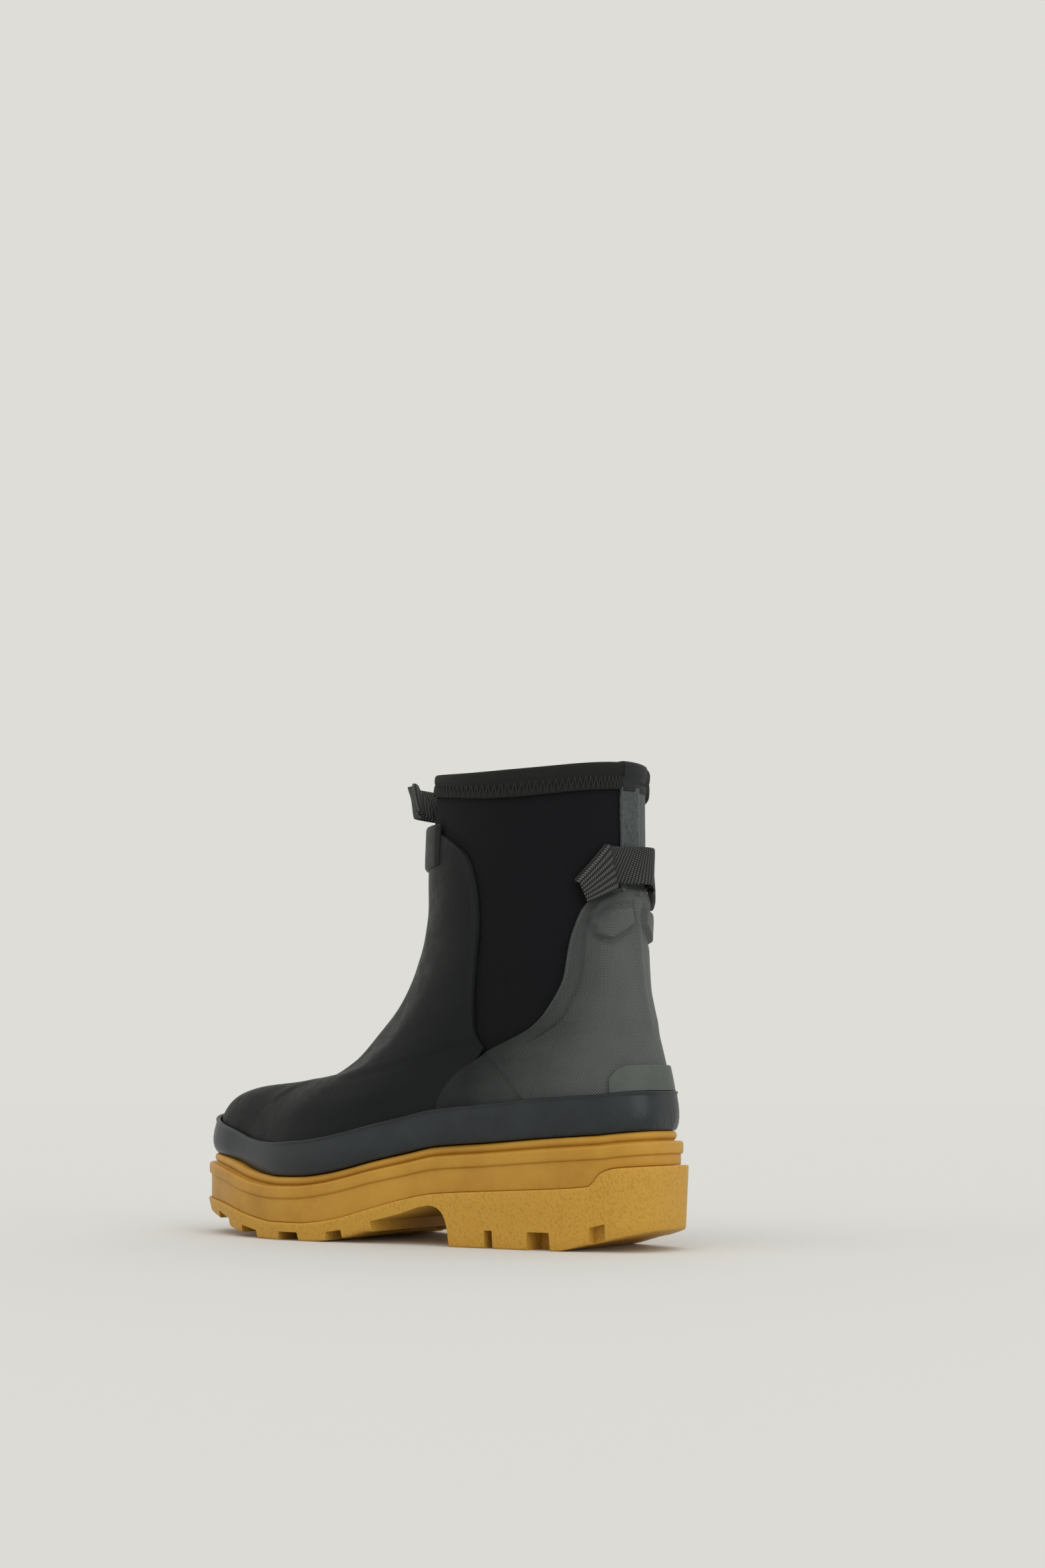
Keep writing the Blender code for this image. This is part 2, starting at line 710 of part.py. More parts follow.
# Cut one gap between lugs, square to the slope of the underside.
def add_gap(outsole, name, place, width, low_side, high_side, deep):
    size = Vector((length * width, high_side - low_side, 2 * deep))
    reach = 0.02
    slope = (sole_height(3, place + reach) - sole_height(3, place - reach)) / (2 * reach * length)

    def build(bm):
        bmesh.ops.create_cube(bm, size=1)
        for vert in bm.verts:
            vert.co.x *= size.x * (0.86 if vert.co.z > 0 else 1.0)
            vert.co.y *= size.y
            vert.co.z = vert.co.z * size.z + vert.co.x * slope
    cutter = add_cutter(name, build, outsole)
    cutter.location = (length * place, (low_side + high_side) / 2, sole_height(3, place))


# The textured tread layer with its heel block, arch and lugs.
def add_outsole():
    def top(place):
        return sole_height(2, place)

    def below_top(place):
        return sole_height(2, place) - 0.4 * tread_round

    def bottom(place):
        return sole_height(3, place)

    def above_bottom(place):
        return sole_height(3, place) + 0.45 * tread_round
    rows = [
        (-tread_round, bottom), (-0.55 * tread_round, above_bottom), (0.0, below_top),
        (-0.3 * tread_round, top),
    ]
    rings = [[sole_point(turn, tread_grow(turn) + extra, height) for turn in sole_turns]
             for extra, height in rows]
    for grow in (-wall_setback, -seat_inset):
        rings.append([sole_point(turn, grow, top) for turn in sole_turns])
    outsole = stack_of_rings("outsole", rings, tread_rubber)
    add_arch(outsole)
    edge = ball_width
    for number, (place, width) in enumerate(front_gap_rows, 1):
        add_gap(outsole, f"outer_gap_{number}", place, width, tread_middle_outer, edge, lug_depth)
        add_gap(outsole, f"inner_gap_{number}", place, width, -edge, -tread_middle_inner, lug_depth)
    for number, (place, width) in enumerate(centre_gap_rows, 1):
        low = -tread_middle_inner + tread_round
        high = tread_middle_outer - 2 * tread_round
        add_gap(outsole, f"centre_gap_{number}", place, width, low, high, lug_depth)
    for number, (place, width) in enumerate(heel_gap_rows, 1):
        low = tread_middle_inner
        add_gap(outsole, f"outer_notch_{number}", place, width, low, edge, 2 * lug_depth)
        add_gap(outsole, f"inner_notch_{number}", place, width, -edge, -low, 2 * lug_depth)


# The footbed that lies on the sole inside the upper.
def add_insole():
    inset = upper_wall + clearance
    rows = [
        (insole_round / 2, 0.0), (0.0, insole_round / 2),
        (0.0, insole_thickness - 0.8 * insole_round), (insole_round, insole_thickness),
    ]
    rings = []
    for extra, rise in rows:
        ring = []
        for turn in turns:
            point = on_shell(turn, 0, -inset - extra)
            ring.append(point + Vector((0, 0, rise)))
        rings.append(ring)
    stack_of_rings("insole", rings, footbed)


def clear_scene():
    for item in list(bpy.data.objects):
        bpy.data.objects.remove(item)


def make_collection(name):
    made = bpy.data.collections.new(name)
    bpy.context.scene.collection.children.link(made)
    return made


# Move the whole boot so that the middle of its footprint is the origin.
def centre_on_floor():
    points = [vert.co for item in boot_parts.objects for vert in item.data.vertices]
    low_x = min(point.x for point in points)
    high_x = max(point.x for point in points)
    low_y = min(point.y for point in points)
    high_y = max(point.y for point in points)
    boot_frame.location = (-(low_x + high_x) / 2, -(low_y + high_y) / 2, 0)


clear_scene()
boot_parts = make_collection("rubber_ankle_boot")
boot_cutters = make_collection("boot_cutters")
boot_frame = bpy.data.objects.new("boot_frame", None)
bpy.context.scene.collection.objects.link(boot_frame)

gum_rubber = make_material("gum_rubber", (0.52, 0.31, 0.08), 0.45)
tread_rubber = make_material("tread_rubber", (0.55, 0.34, 0.10), 0.65)
satin_rubber = make_material("satin_rubber", (0.020, 0.026, 0.026), 0.45)
counter_rubber = make_material("counter_rubber", (0.040, 0.046, 0.046), 0.50)
dark_rubber = make_material("dark_rubber", (0.025, 0.030, 0.032), 0.35)
grey_rubber = make_material("grey_rubber", (0.11, 0.13, 0.12), 0.50)
knit = make_material("knit", (0.012, 0.012, 0.014), 0.90)
binding_knit = make_material("binding_knit", (0.030, 0.035, 0.033), 0.85)
webbing = make_material("webbing", (0.030, 0.032, 0.034), 0.75)
footbed = make_material("footbed", (0.030, 0.030, 0.032), 0.85)

add_upper()
add_vamp()
add_counter()
add_foxing()
add_heel_patch()
add_back_strip()
add_binding()
add_front_tab()
counter_height = shell(0, counter_top).z
tab_height = shell(1, tab_top).z
back_root = Vector((-0.0076, 3.2 * webbing_thickness))
front_root = Vector((0.0025, 3 * webbing_thickness))
leg_corner = 3.5 * webbing_thickness
add_loop("back_loop", False, webbing_width, counter_height, back_loop_rise, back_root,
         leg_corner, webbing_thickness, back_loop_reach, 0.0, 1.0)
add_loop("front_loop", True, front_webbing_width, tab_height, front_loop_rise, front_root,
         leg_corner, 0.6 * front_loop_reach, front_loop_reach, front_loop_lean, 1.8)
add_midsole()
add_outsole()
add_insole()
centre_on_floor()
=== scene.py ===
import math

import bmesh
import bpy
import numpy as np
from mathutils import Matrix, Vector


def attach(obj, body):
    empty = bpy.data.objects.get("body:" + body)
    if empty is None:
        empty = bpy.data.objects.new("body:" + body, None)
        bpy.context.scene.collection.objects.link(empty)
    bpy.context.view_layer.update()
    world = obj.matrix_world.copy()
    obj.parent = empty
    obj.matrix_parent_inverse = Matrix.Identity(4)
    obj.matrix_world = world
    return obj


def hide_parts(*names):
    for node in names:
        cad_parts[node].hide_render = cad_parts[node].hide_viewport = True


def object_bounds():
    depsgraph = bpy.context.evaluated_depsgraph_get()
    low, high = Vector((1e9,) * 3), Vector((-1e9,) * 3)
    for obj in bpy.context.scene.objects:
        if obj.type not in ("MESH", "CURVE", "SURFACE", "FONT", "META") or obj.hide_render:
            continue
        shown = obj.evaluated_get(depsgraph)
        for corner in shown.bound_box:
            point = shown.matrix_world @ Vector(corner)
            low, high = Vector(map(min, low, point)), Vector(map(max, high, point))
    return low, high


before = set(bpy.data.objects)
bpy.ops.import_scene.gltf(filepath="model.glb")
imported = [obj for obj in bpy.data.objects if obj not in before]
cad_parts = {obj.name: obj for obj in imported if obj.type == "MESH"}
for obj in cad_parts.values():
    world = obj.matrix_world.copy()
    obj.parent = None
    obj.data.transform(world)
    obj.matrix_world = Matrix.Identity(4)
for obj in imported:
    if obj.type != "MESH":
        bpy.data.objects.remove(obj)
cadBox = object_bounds()
print("Frame loaded")

# Sizes of the boot, in metres. Its last starts at the heel and points along +X
boot = {
    "length": 0.2885,
    "ballWidth": 0.108,
    "collarHeight": 0.229,
    "stackHeight": 0.0555,
    "toeHeight": 0.0425,
    "upperWall": 0.0028,
    "clearance": 0.0003,
    "skinGap": 0.00045,
    "collarDip": 0.0055,
    "middleLine": -0.0021,
    "vampOuter": 0.00235,
    "counterOuter": 0.00275,
    "foxingInner": 0.0032,
    "foxingOuter": 0.0050,
    "skinInner": 0.00075,
}
soleForm = {
    "columns": 520, "panelProud": 0.0024, "treadProud": 0.0003, "wallSetback": 0.0011,
    "beadHeight": 0.0042, "beadSetback": 0.0030, "beadRound": 0.0018, "rimHeight": 0.0060,
    "lugDepth": 0.0043,
}
halfBall = boot["ballWidth"] / 2
shaftHeight = boot["collarHeight"] - boot["stackHeight"]
frontHeight = boot["collarHeight"] - boot["toeHeight"]
toFrame = np.array([cadBox[0].x, boot["middleLine"], 0.0])

# Outline of the sole: share of the length, then outer and inner half widths as shares
outlineRows = np.array([
    (0.00, 0.76, 0.76), (0.12, 0.79, 0.78), (0.28, 0.77, 0.75), (0.42, 0.81, 0.70),
    (0.58, 0.94, 0.81), (0.70, 1.03, 0.96), (0.82, 1.01, 1.02), (0.92, 0.92, 1.03),
    (1.00, 0.83, 0.98),
])
outlineRounding = 0.62

# Side of the sole: share of the length, then top, top of the tread and underside
soleRows = np.array([
    (0.000, 1.010, 0.720, 0.180), (0.050, 0.985, 0.700, 0.118), (0.070, 0.972, 0.665, 0.088),
    (0.092, 0.964, 0.545, 0.060), (0.150, 0.945, 0.520, 0.000), (0.280, 0.895, 0.486, 0.000),
    (0.380, 0.860, 0.455, 0.000), (0.440, 0.800, 0.400, 0.050), (0.510, 0.725, 0.305, 0.110),
    (0.565, 0.655, 0.225, 0.042), (0.620, 0.600, 0.175, 0.004), (0.660, 0.577, 0.160, 0.000),
    (0.720, 0.570, 0.160, 0.000), (0.765, 0.588, 0.185, 0.002), (0.815, 0.630, 0.230, 0.045),
    (0.855, 0.680, 0.275, 0.082), (0.905, 0.725, 0.312, 0.148), (0.950, 0.752, 0.330, 0.188),
    (1.000, 0.765, 0.345, 0.215),
])

# Tilted sections of the upper: level, heel place and rise, front place and rise, half
# widths at heel, waist (outer, inner), ball (outer, inner) and toe (outer, inner),
# rounding, and the share of the sole's curve that the section keeps
sectionRows = np.array([
    (0.00, 0.036, 0.000, 0.967, 0.000, 0.64, 0.69, 0.56, 0.88, 0.81, 0.73, 0.83, 0.62, 1.00),
    (0.05, 0.034, 0.040, 0.974, 0.040, 0.66, 0.71, 0.61, 0.90, 0.84, 0.74, 0.85, 0.62, 1.00),
    (0.10, 0.035, 0.084, 0.971, 0.086, 0.68, 0.71, 0.65, 0.88, 0.83, 0.72, 0.83, 0.64, 0.95),
    (0.15, 0.039, 0.130, 0.958, 0.128, 0.68, 0.71, 0.67, 0.84, 0.81, 0.68, 0.79, 0.67, 0.85),
    (0.20, 0.044, 0.176, 0.932, 0.158, 0.67, 0.71, 0.67, 0.80, 0.77, 0.62, 0.70, 0.71, 0.70),
    (0.26, 0.052, 0.233, 0.882, 0.176, 0.67, 0.70, 0.68, 0.73, 0.71, 0.56, 0.63, 0.76, 0.50),
    (0.32, 0.062, 0.291, 0.815, 0.181, 0.67, 0.70, 0.68, 0.69, 0.68, 0.55, 0.58, 0.80, 0.30),
    (0.38, 0.069, 0.337, 0.742, 0.188, 0.68, 0.71, 0.69, 0.69, 0.67, 0.52, 0.55, 0.85, 0.12),
    (0.44, 0.075, 0.383, 0.667, 0.234, 0.69, 0.71, 0.70, 0.69, 0.67, 0.54, 0.56, 0.90, 0.00),
    (0.50, 0.078, 0.429, 0.600, 0.316, 0.70, 0.72, 0.71, 0.69, 0.68, 0.57, 0.58, 0.94, 0.00),
    (0.56, 0.081, 0.476, 0.546, 0.394, 0.72, 0.73, 0.73, 0.71, 0.70, 0.63, 0.63, 0.97, 0.00),
    (0.62, 0.083, 0.522, 0.506, 0.483, 0.73, 0.75, 0.74, 0.73, 0.73, 0.69, 0.69, 1.00, 0.00),
    (0.70, 0.083, 0.591, 0.480, 0.571, 0.75, 0.77, 0.77, 0.76, 0.76, 0.74, 0.74, 1.00, 0.00),
    (0.78, 0.083, 0.671, 0.469, 0.662, 0.77, 0.79, 0.79, 0.79, 0.79, 0.77, 0.77, 1.00, 0.00),
    (0.86, 0.081, 0.775, 0.467, 0.769, 0.77, 0.80, 0.80, 0.80, 0.80, 0.79, 0.79, 1.00, 0.00),
    (0.93, 0.082, 0.879, 0.463, 0.881, 0.78, 0.81, 0.81, 0.80, 0.80, 0.79, 0.79, 1.00, 0.00),
    (1.00, 0.080, 0.985, 0.454, 1.005, 0.78, 0.81, 0.81, 0.80, 0.80, 0.79, 0.79, 1.00, 0.00),
])
widthPlaces = np.array([0.00, 0.18, 0.42, 0.70, 0.90, 1.00])


# A smooth curve through values at places, which never overshoots them
def readCurve(places, values, at):
    at = np.clip(np.asarray(at, float), places[0], places[-1])
    gaps = np.diff(places).reshape((-1,) + (1,) * (values.ndim - 1))
    rises = np.diff(values, axis=0) / gaps
    product = rises[:-1] * rises[1:]
    total = rises[:-1] + rises[1:]
    inner = np.where(product > 0, 2 * product / np.where(total == 0, 1, total), 0)
    slopes = np.concatenate([rises[:1], inner, rises[-1:]])
    i = np.clip(np.searchsorted(places, at, side="right") - 1, 0, len(places) - 2)

    def pick(table, row):
        return table[row] if table.ndim == 1 else np.take_along_axis(table, row[None], 0)[0]

    gap = places[i + 1] - places[i]
    t = (at - places[i]) / gap
    rise, first, last = pick(rises, i), pick(slopes, i), pick(slopes, i + 1)
    bend = 3 * rise - 2 * first - last + t * (first + last - 2 * rise)
    return pick(values, i) + gap * t * (first + t * bend)


def readRows(rows, column, at):
    return readCurve(rows[:, 0], rows[:, column], at)


def smoothStep(value):
    value = np.clip(value, 0, 1)
    return value * value * (3 - 2 * value)


def ringAngle(turn):
    size = np.abs(turn)
    angle = math.pi * (0.5 * size + 0.25 * (1 - np.cos(math.pi * size)))
    return np.copysign(angle, turn)


def wrapTurn(turn):
    return (turn + 1) % 2 - 1


def soleHeight(column, place):
    return boot["stackHeight"] * readRows(soleRows, column, place)


# Height of the sole's top inside its bead, where the upper stands
def seatHeight(x):
    edge = soleForm["beadSetback"] + soleForm["beadRound"]
    start = soleForm["panelProud"] + edge
    return soleHeight(1, (x - start) / (boot["length"] - edge - start))


# A point of the upper. turn is 0 at the heel and 1 at the toe, level 0 at the sole and
# 1 at the collar
def shellPoints(turn, level):
    turn, level = np.broadcast_arrays(np.asarray(turn, float), np.asarray(level, float))
    angle = ringAngle(wrapTurn(turn))
    along = (1 - np.cos(angle)) / 2
    side = np.sin(angle)
    row = [readRows(sectionRows, column, level) for column in range(14)]
    outer = side >= 0
    waist = np.where(outer, row[6], row[7])
    ball = np.where(outer, row[8], row[9])
    toe = np.where(outer, row[10], row[11])
    widths = np.stack([row[5], row[5], waist, ball, toe, toe])
    half = halfBall * readCurve(widthPlaces, widths, along)
    x = boot["length"] * (row[1] + (row[3] - row[1]) * along)
    y = np.copysign(half * np.abs(side) ** row[12], side)
    lowHeel = boot["length"] * sectionRows[0, 1]
    lowFront = boot["length"] * sectionRows[0, 3]
    base = seatHeight(lowHeel + (lowFront - lowHeel) * along)
    ends = seatHeight(np.array([lowHeel, lowFront]))
    chord = ends[0] + (ends[1] - ends[0]) * along
    heelRise = row[2] * shaftHeight
    rise = heelRise + (row[4] * frontHeight - heelRise) * along
    dip = boot["collarDip"] * side * side * smoothStep((level - 0.80) / 0.20)
    z = chord + rise + (base - chord) * row[13] + boot["skinGap"] - dip
    return np.stack([x, y, z], axis=-1)


def unit(vectors):
    return vectors / np.maximum(np.linalg.norm(vectors, axis=-1, keepdims=True), 1e-12)


def outwardAt(turn, level):
    small = 0.002
    across = shellPoints(turn + small, level) - shellPoints(turn - small, level)
    up = shellPoints(turn, np.minimum(1, level + small))
    up = up - shellPoints(turn, np.maximum(0, level - small))
    normal = unit(np.cross(across, up))
    centre = np.array([0.30 * boot["length"], 0, 0])
    inward = np.sum((normal * (shellPoints(turn, level) - centre))[..., :2], axis=-1) < 0
    normal = np.where(inward[..., None], -normal, normal)
    normal[..., 2] *= np.minimum(1, level / 0.08)
    return unit(normal)


def onShell(turn, level, offset):
    turn, level, offset = np.broadcast_arrays(
        *(np.asarray(value, float) for value in (turn, level, offset)))
    point = shellPoints(turn, level) + outwardAt(turn, level) * offset[..., None]
    seat = seatHeight(point[..., 0]) + boot["skinGap"]
    point[..., 2] = np.where(level <= 0, seat, point[..., 2])
    return point


def levelAt(turn, height):
    low, high = np.zeros_like(height), np.ones_like(height)
    for _ in range(16):
        middle = (low + high) / 2
        below = shellPoints(turn, middle)[..., 2] < height
        low, high = np.where(below, middle, low), np.where(below, high, middle)
    return (low + high) / 2


# Length of one unit of turn at a level, halfway along the side
def turnSize(level):
    ring = shellPoints(np.linspace(0, 1, 65)[:, None], np.asarray(level, float).ravel())
    length = np.linalg.norm(np.diff(ring, axis=0), axis=-1).sum(axis=0)
    return length.reshape(np.shape(level))


turnSizeLevels = np.linspace(0, 1, 60)
turnSizes = turnSize(turnSizeLevels)


def localTurnSize(turn, level):
    small = 0.004
    gap = shellPoints(turn + small, level) - shellPoints(turn - small, level)
    return np.linalg.norm(gap, axis=-1) / (2 * small)


# Distance from points to a route of points, all in metres
def routeDistance(points, route):
    best = np.full(points.shape[:-1], 1e9)
    for start, stop in zip(route[:-1], route[1:]):
        start, stop = np.array(start, float), np.array(stop, float)
        along = stop - start
        share = np.clip(((points - start) @ along) / (along @ along), 0, 1)
        gap = np.linalg.norm(points - start - share[..., None] * along, axis=-1)
        best = np.minimum(best, gap)
    return best


# Depth of points inside a convex outline whose corners run anticlockwise
def insideDepth(points, corners):
    depth = np.full(points.shape[:-1], 1e9)
    for start, stop in zip(corners, corners[1:] + corners[:1]):
        start, stop = np.array(start, float), np.array(stop, float)
        along = unit(stop - start)
        inward = np.array([-along[1], along[0]])
        depth = np.minimum(depth, (points - start) @ inward)
    return depth


# Materials
def addNode(tree, kind, inputs=None, **settings):
    node = tree.nodes.new(kind)
    for key, value in settings.items():
        setattr(node, key, value)
    for key, value in (inputs or {}).items():
        if isinstance(value, bpy.types.NodeSocket):
            tree.links.new(value, node.inputs[key])
        else:
            node.inputs[key].default_value = value
    return node


def calc(tree, operation, first, second=0.0):
    return addNode(tree, "ShaderNodeMath", {0: first, 1: second}, operation=operation).outputs[0]


def newLook(name, colour, roughness, **inputs):
    material = bpy.data.materials.new(name)
    material.use_nodes = True
    tree = material.node_tree
    shader = tree.nodes["Principled BSDF"]
    shader.inputs["Base Color"].default_value = (*colour, 1)
    shader.inputs["Roughness"].default_value = roughness
    for key, value in inputs.items():
        shader.inputs[key.replace("_", " ")].default_value = value
    return material, tree, shader


def splitParts(tree, vector):
    return addNode(tree, "ShaderNodeSeparateXYZ", {"Vector": vector}).outputs


# The surface's own lengths in metres, across and up, or the place in the frame
def surfacePlace(tree, scale=(1, 1, 1), turned=0.0, own=True):
    if own:
        source = addNode(tree, "ShaderNodeUVMap", uv_map="surface").outputs["UV"]
    else:
        source = addNode(tree, "ShaderNodeTexCoord").outputs["Object"]
    turnedBy = (0, 0, math.radians(turned))
    return addNode(tree, "ShaderNodeMapping",
                   {"Vector": source, "Rotation": turnedBy, "Scale": scale}).outputs["Vector"]


def noiseAt(tree, vector, scale, detail=3.0, roughness=0.55, distortion=0.0):
    values = {"Vector": vector, "Scale": scale, "Detail": detail, "Roughness": roughness,
              "Distortion": distortion}
    return addNode(tree, "ShaderNodeTexNoise", values).outputs["Fac"]


def ramp(tree, value, stops):
    node = addNode(tree, "ShaderNodeValToRGB", {"Fac": value})
    node.color_ramp.elements[0].position = stops[0][0]
    node.color_ramp.elements[0].color = (*stops[0][1], 1)
    node.color_ramp.elements[1].position = stops[-1][0]
    node.color_ramp.elements[1].color = (*stops[-1][1], 1)
    for place, colour in stops[1:-1]:
        node.color_ramp.elements.new(place).color = (*colour, 1)
    return node.outputs["Color"]


def spanRange(tree, value, low, high, fromLow=0.0, fromHigh=1.0):
    values = {"Value": value, "From Min": fromLow, "From Max": fromHigh, "To Min": low, "To Max": high}
    return addNode(tree, "ShaderNodeMapRange", values).outputs["Result"]


def addBump(tree, shader, height, depth, under=None):
    values = {"Height": height, "Distance": depth, "Strength": 1.0}
    if under is not None:
        values["Normal"] = under
    normal = addNode(tree, "ShaderNodeBump", values).outputs["Normal"]
    tree.links.new(normal, shader.inputs["Normal"])
    return normal


def link(tree, value, shader, socket):
    tree.links.new(value, shader.inputs[socket])


# Mottles the colour and the roughness of a look by one noise
def mottle(tree, shader, noise, stops, low, high):
    link(tree, ramp(tree, noise, stops), shader, "Base Color")
    link(tree, spanRange(tree, noise, low, high, 0.3, 0.7), shader, "Roughness")


# A wave from 0 to 1 with its crest at 0
def cosineWave(tree, value, pitch):
    turns = calc(tree, "MULTIPLY", value, 2 * math.pi / pitch)
    return calc(tree, "MULTIPLY_ADD", calc(tree, "COSINE", turns), 0.5)


rubberLooks = {
    "vampColour": (0.0050, 0.0066, 0.0064),
    "foxingColour": (0.0135, 0.0175, 0.0205),
    "weaveDark": (0.004, 0.006, 0.006),
    # The light weave colour is a painted highlight on the weave's raised dots
    "weaveDotHighlight": (0.150, 0.165, 0.160),
    # The worn weave colour is a painted shade towards the counter's front, mixed with random worn patches
    "weaveWearAndShade": (0.010, 0.013, 0.013),
    "weavePitch": 0.00098,
    "gumColour": (0.505, 0.262, 0.032),
    "grainColour": (0.545, 0.298, 0.042),
    "grainSize": 0.00090,
}


def makeVampRubber():
    colour = rubberLooks["vampColour"]
    material, tree, shader = newLook("vampRubber", colour, 0.42, Specular_IOR_Level=0.15)
    place = surfacePlace(tree, own=False)
    soft = noiseAt(tree, place, 130, 4, 0.6, 0.6)
    mottle(tree, shader, soft, [(0.35, colour), (0.75, np.multiply(colour, 1.4))], 0.40, 0.56)
    wrinkles = noiseAt(tree, surfacePlace(tree, (1.0, 1.0, 2.4), own=False), 420, 3, 0.6, 1.4)
    first = addBump(tree, shader, wrinkles, 0.00022)
    addBump(tree, shader, noiseAt(tree, place, 2600, 2), 0.00005, first)
    return material


def makeWeaveRubber():
    looks = rubberLooks
    material, tree, shader = newLook("weaveRubber", looks["weaveDotHighlight"], 0.48, Specular_IOR_Level=0.25)
    place = surfacePlace(tree, turned=42)
    across, up, _ = (calc(tree, "ADD", cosineWave(tree, part, looks["weavePitch"]), 0.5)
                     for part in splitParts(tree, place))
    dots = calc(tree, "MULTIPLY", across, up)
    inFrame = surfacePlace(tree, own=False)
    fromRear = splitParts(tree, inFrame)["X"]
    worn = calc(tree, "MULTIPLY", noiseAt(tree, inFrame, 60, 3), 0.3)
    # Painted shade: the weave is mixed towards a dark colour from the counter's rear to its front, plus
    # random worn patches from noise
    wearAndShade = calc(tree, "ADD", worn, spanRange(tree, fromRear, 0.0, 0.80, -0.120, -0.050))
    # Painted highlight on the weave's raised dots, with the dark rubber between them
    colours = ramp(tree, dots, [(0.16, looks["weaveDark"]), (0.80, looks["weaveDotHighlight"])])
    shade = addNode(tree, "ShaderNodeMix", {0: wearAndShade, 6: colours, 7: (*looks["weaveWearAndShade"], 1)},
                    data_type="RGBA")
    link(tree, shade.outputs[2], shader, "Base Color")
    addBump(tree, shader, dots, 0.00030)
    return material


def makeFoxingRubber():
    colour = rubberLooks["foxingColour"]
    material, tree, shader = newLook("foxingRubber", colour, 0.34, Specular_IOR_Level=0.36)
    place = surfacePlace(tree, own=False)
    soft = noiseAt(tree, place, 70, 3)
    mottle(tree, shader, soft, [(0.35, colour), (0.75, np.multiply(colour, 1.5))], 0.27, 0.42)
    scales = surfacePlace(tree, (1.0, 0.55, 1.0), 38)
    cells = addNode(tree, "ShaderNodeTexVoronoi", {"Vector": scales, "Scale": 520.0})
    parts = splitParts(tree, place)
    rear = spanRange(tree, parts["X"], 1.0, 0.0, -0.135, -0.040)
    low = spanRange(tree, parts["Z"], 1.0, 0.0, 0.058, 0.068)
    amount = calc(tree, "MULTIPLY", calc(tree, "MULTIPLY", rear, low), cells.outputs["Distance"])
    first = addBump(tree, shader, amount, 0.00032)
    addBump(tree, shader, noiseAt(tree, place, 900, 3), 0.00006, first)
    return material


def makePlainRubber(name, colour, roughness, contrast, grain):
    material, tree, shader = newLook(name, colour, roughness, Specular_IOR_Level=0.25)
    place = surfacePlace(tree, own=False)
    soft = noiseAt(tree, place, grain, 4, 0.65)
    stops = [(0.30, np.multiply(colour, 1 - contrast)), (0.72, np.multiply(colour, 1 + contrast))]
    mottle(tree, shader, soft, stops, roughness - 0.06, roughness + 0.08)
    addBump(tree, shader, noiseAt(tree, place, 3 * grain, 3), 0.00006)
    return material


def makeGumRubber():
    colour = rubberLooks["gumColour"]
    material, tree, shader = newLook("gumRubber", colour, 0.42, Specular_IOR_Level=0.30)
    place = surfacePlace(tree, own=False)
    soft = noiseAt(tree, place, 38, 4, 0.6)
    darker = np.multiply(colour, (0.86, 0.82, 0.75))
    lighter = np.multiply(colour, (1.10, 1.12, 1.25))
    link(tree, ramp(tree, soft, [(0.30, darker), (0.55, colour), (0.78, lighter)]), shader, "Base Color")
    link(tree, spanRange(tree, noiseAt(tree, place, 90), 0.36, 0.50, 0.3, 0.7), shader, "Roughness")
    addBump(tree, shader, noiseAt(tree, place, 700, 3), 0.00005)
    return material


def makeGrainRubber():
    looks = rubberLooks
    colour = looks["grainColour"]
    material, tree, shader = newLook("grainRubber", colour, 0.52, Specular_IOR_Level=0.28)
    place = surfacePlace(tree, (1.0, 1.0, 0.66), own=False)
    bent = addNode(tree, "ShaderNodeTexNoise", {"Vector": place, "Scale": 500.0, "Detail": 2.0})
    moved = addNode(tree, "ShaderNodeVectorMath", {0: bent.outputs["Color"], 3: 0.0003},
                    operation="SCALE")
    warped = addNode(tree, "ShaderNodeVectorMath", {0: place, 1: moved.outputs[0]}, operation="ADD")
    cells = addNode(tree, "ShaderNodeTexVoronoi",
                    {"Vector": warped.outputs[0], "Scale": 1 / looks["grainSize"], "Smoothness": 0.6},
                    feature="SMOOTH_F1")
    bumps = calc(tree, "SUBTRACT", 1.0, cells.outputs["Distance"])
    # Painted shade in the grain's valleys and painted highlight on its crests, following the bump height
    darker = np.multiply(colour, (0.88, 0.85, 0.78))
    lighter = np.multiply(colour, (1.04, 1.05, 1.12))
    link(tree, ramp(tree, bumps, [(0.25, darker), (0.50, colour), (0.85, lighter)]), shader, "Base Color")
    addBump(tree, shader, bumps, 0.00018)
    return material


def makeKnit():
    material, tree, shader = newLook("jerseyKnit", (0.006, 0.006, 0.007), 0.90, Sheen_Weight=0.03,
                                     Sheen_Roughness=0.5, Specular_IOR_Level=0.08)
    place = surfacePlace(tree)
    across, up, _ = splitParts(tree, place)
    shifted = calc(tree, "MULTIPLY_ADD", noiseAt(tree, place, 900, 2), 0.0005)
    columns = cosineWave(tree, calc(tree, "ADD", across, shifted), 0.00062)
    rows = cosineWave(tree, calc(tree, "ADD", up, shifted), 0.00048)
    loops = calc(tree, "ADD", calc(tree, "MULTIPLY", columns, rows), 0.5)
    fuzz = noiseAt(tree, surfacePlace(tree, (1, 2.2, 1)), 1500, 3)
    both = calc(tree, "MULTIPLY", loops, fuzz)
    stops = [(0.12, (0.0035, 0.0037, 0.0045)), (0.36, (0.0105, 0.0108, 0.0128))]
    link(tree, ramp(tree, both, stops), shader, "Base Color")
    addBump(tree, shader, both, 0.00025)
    return material


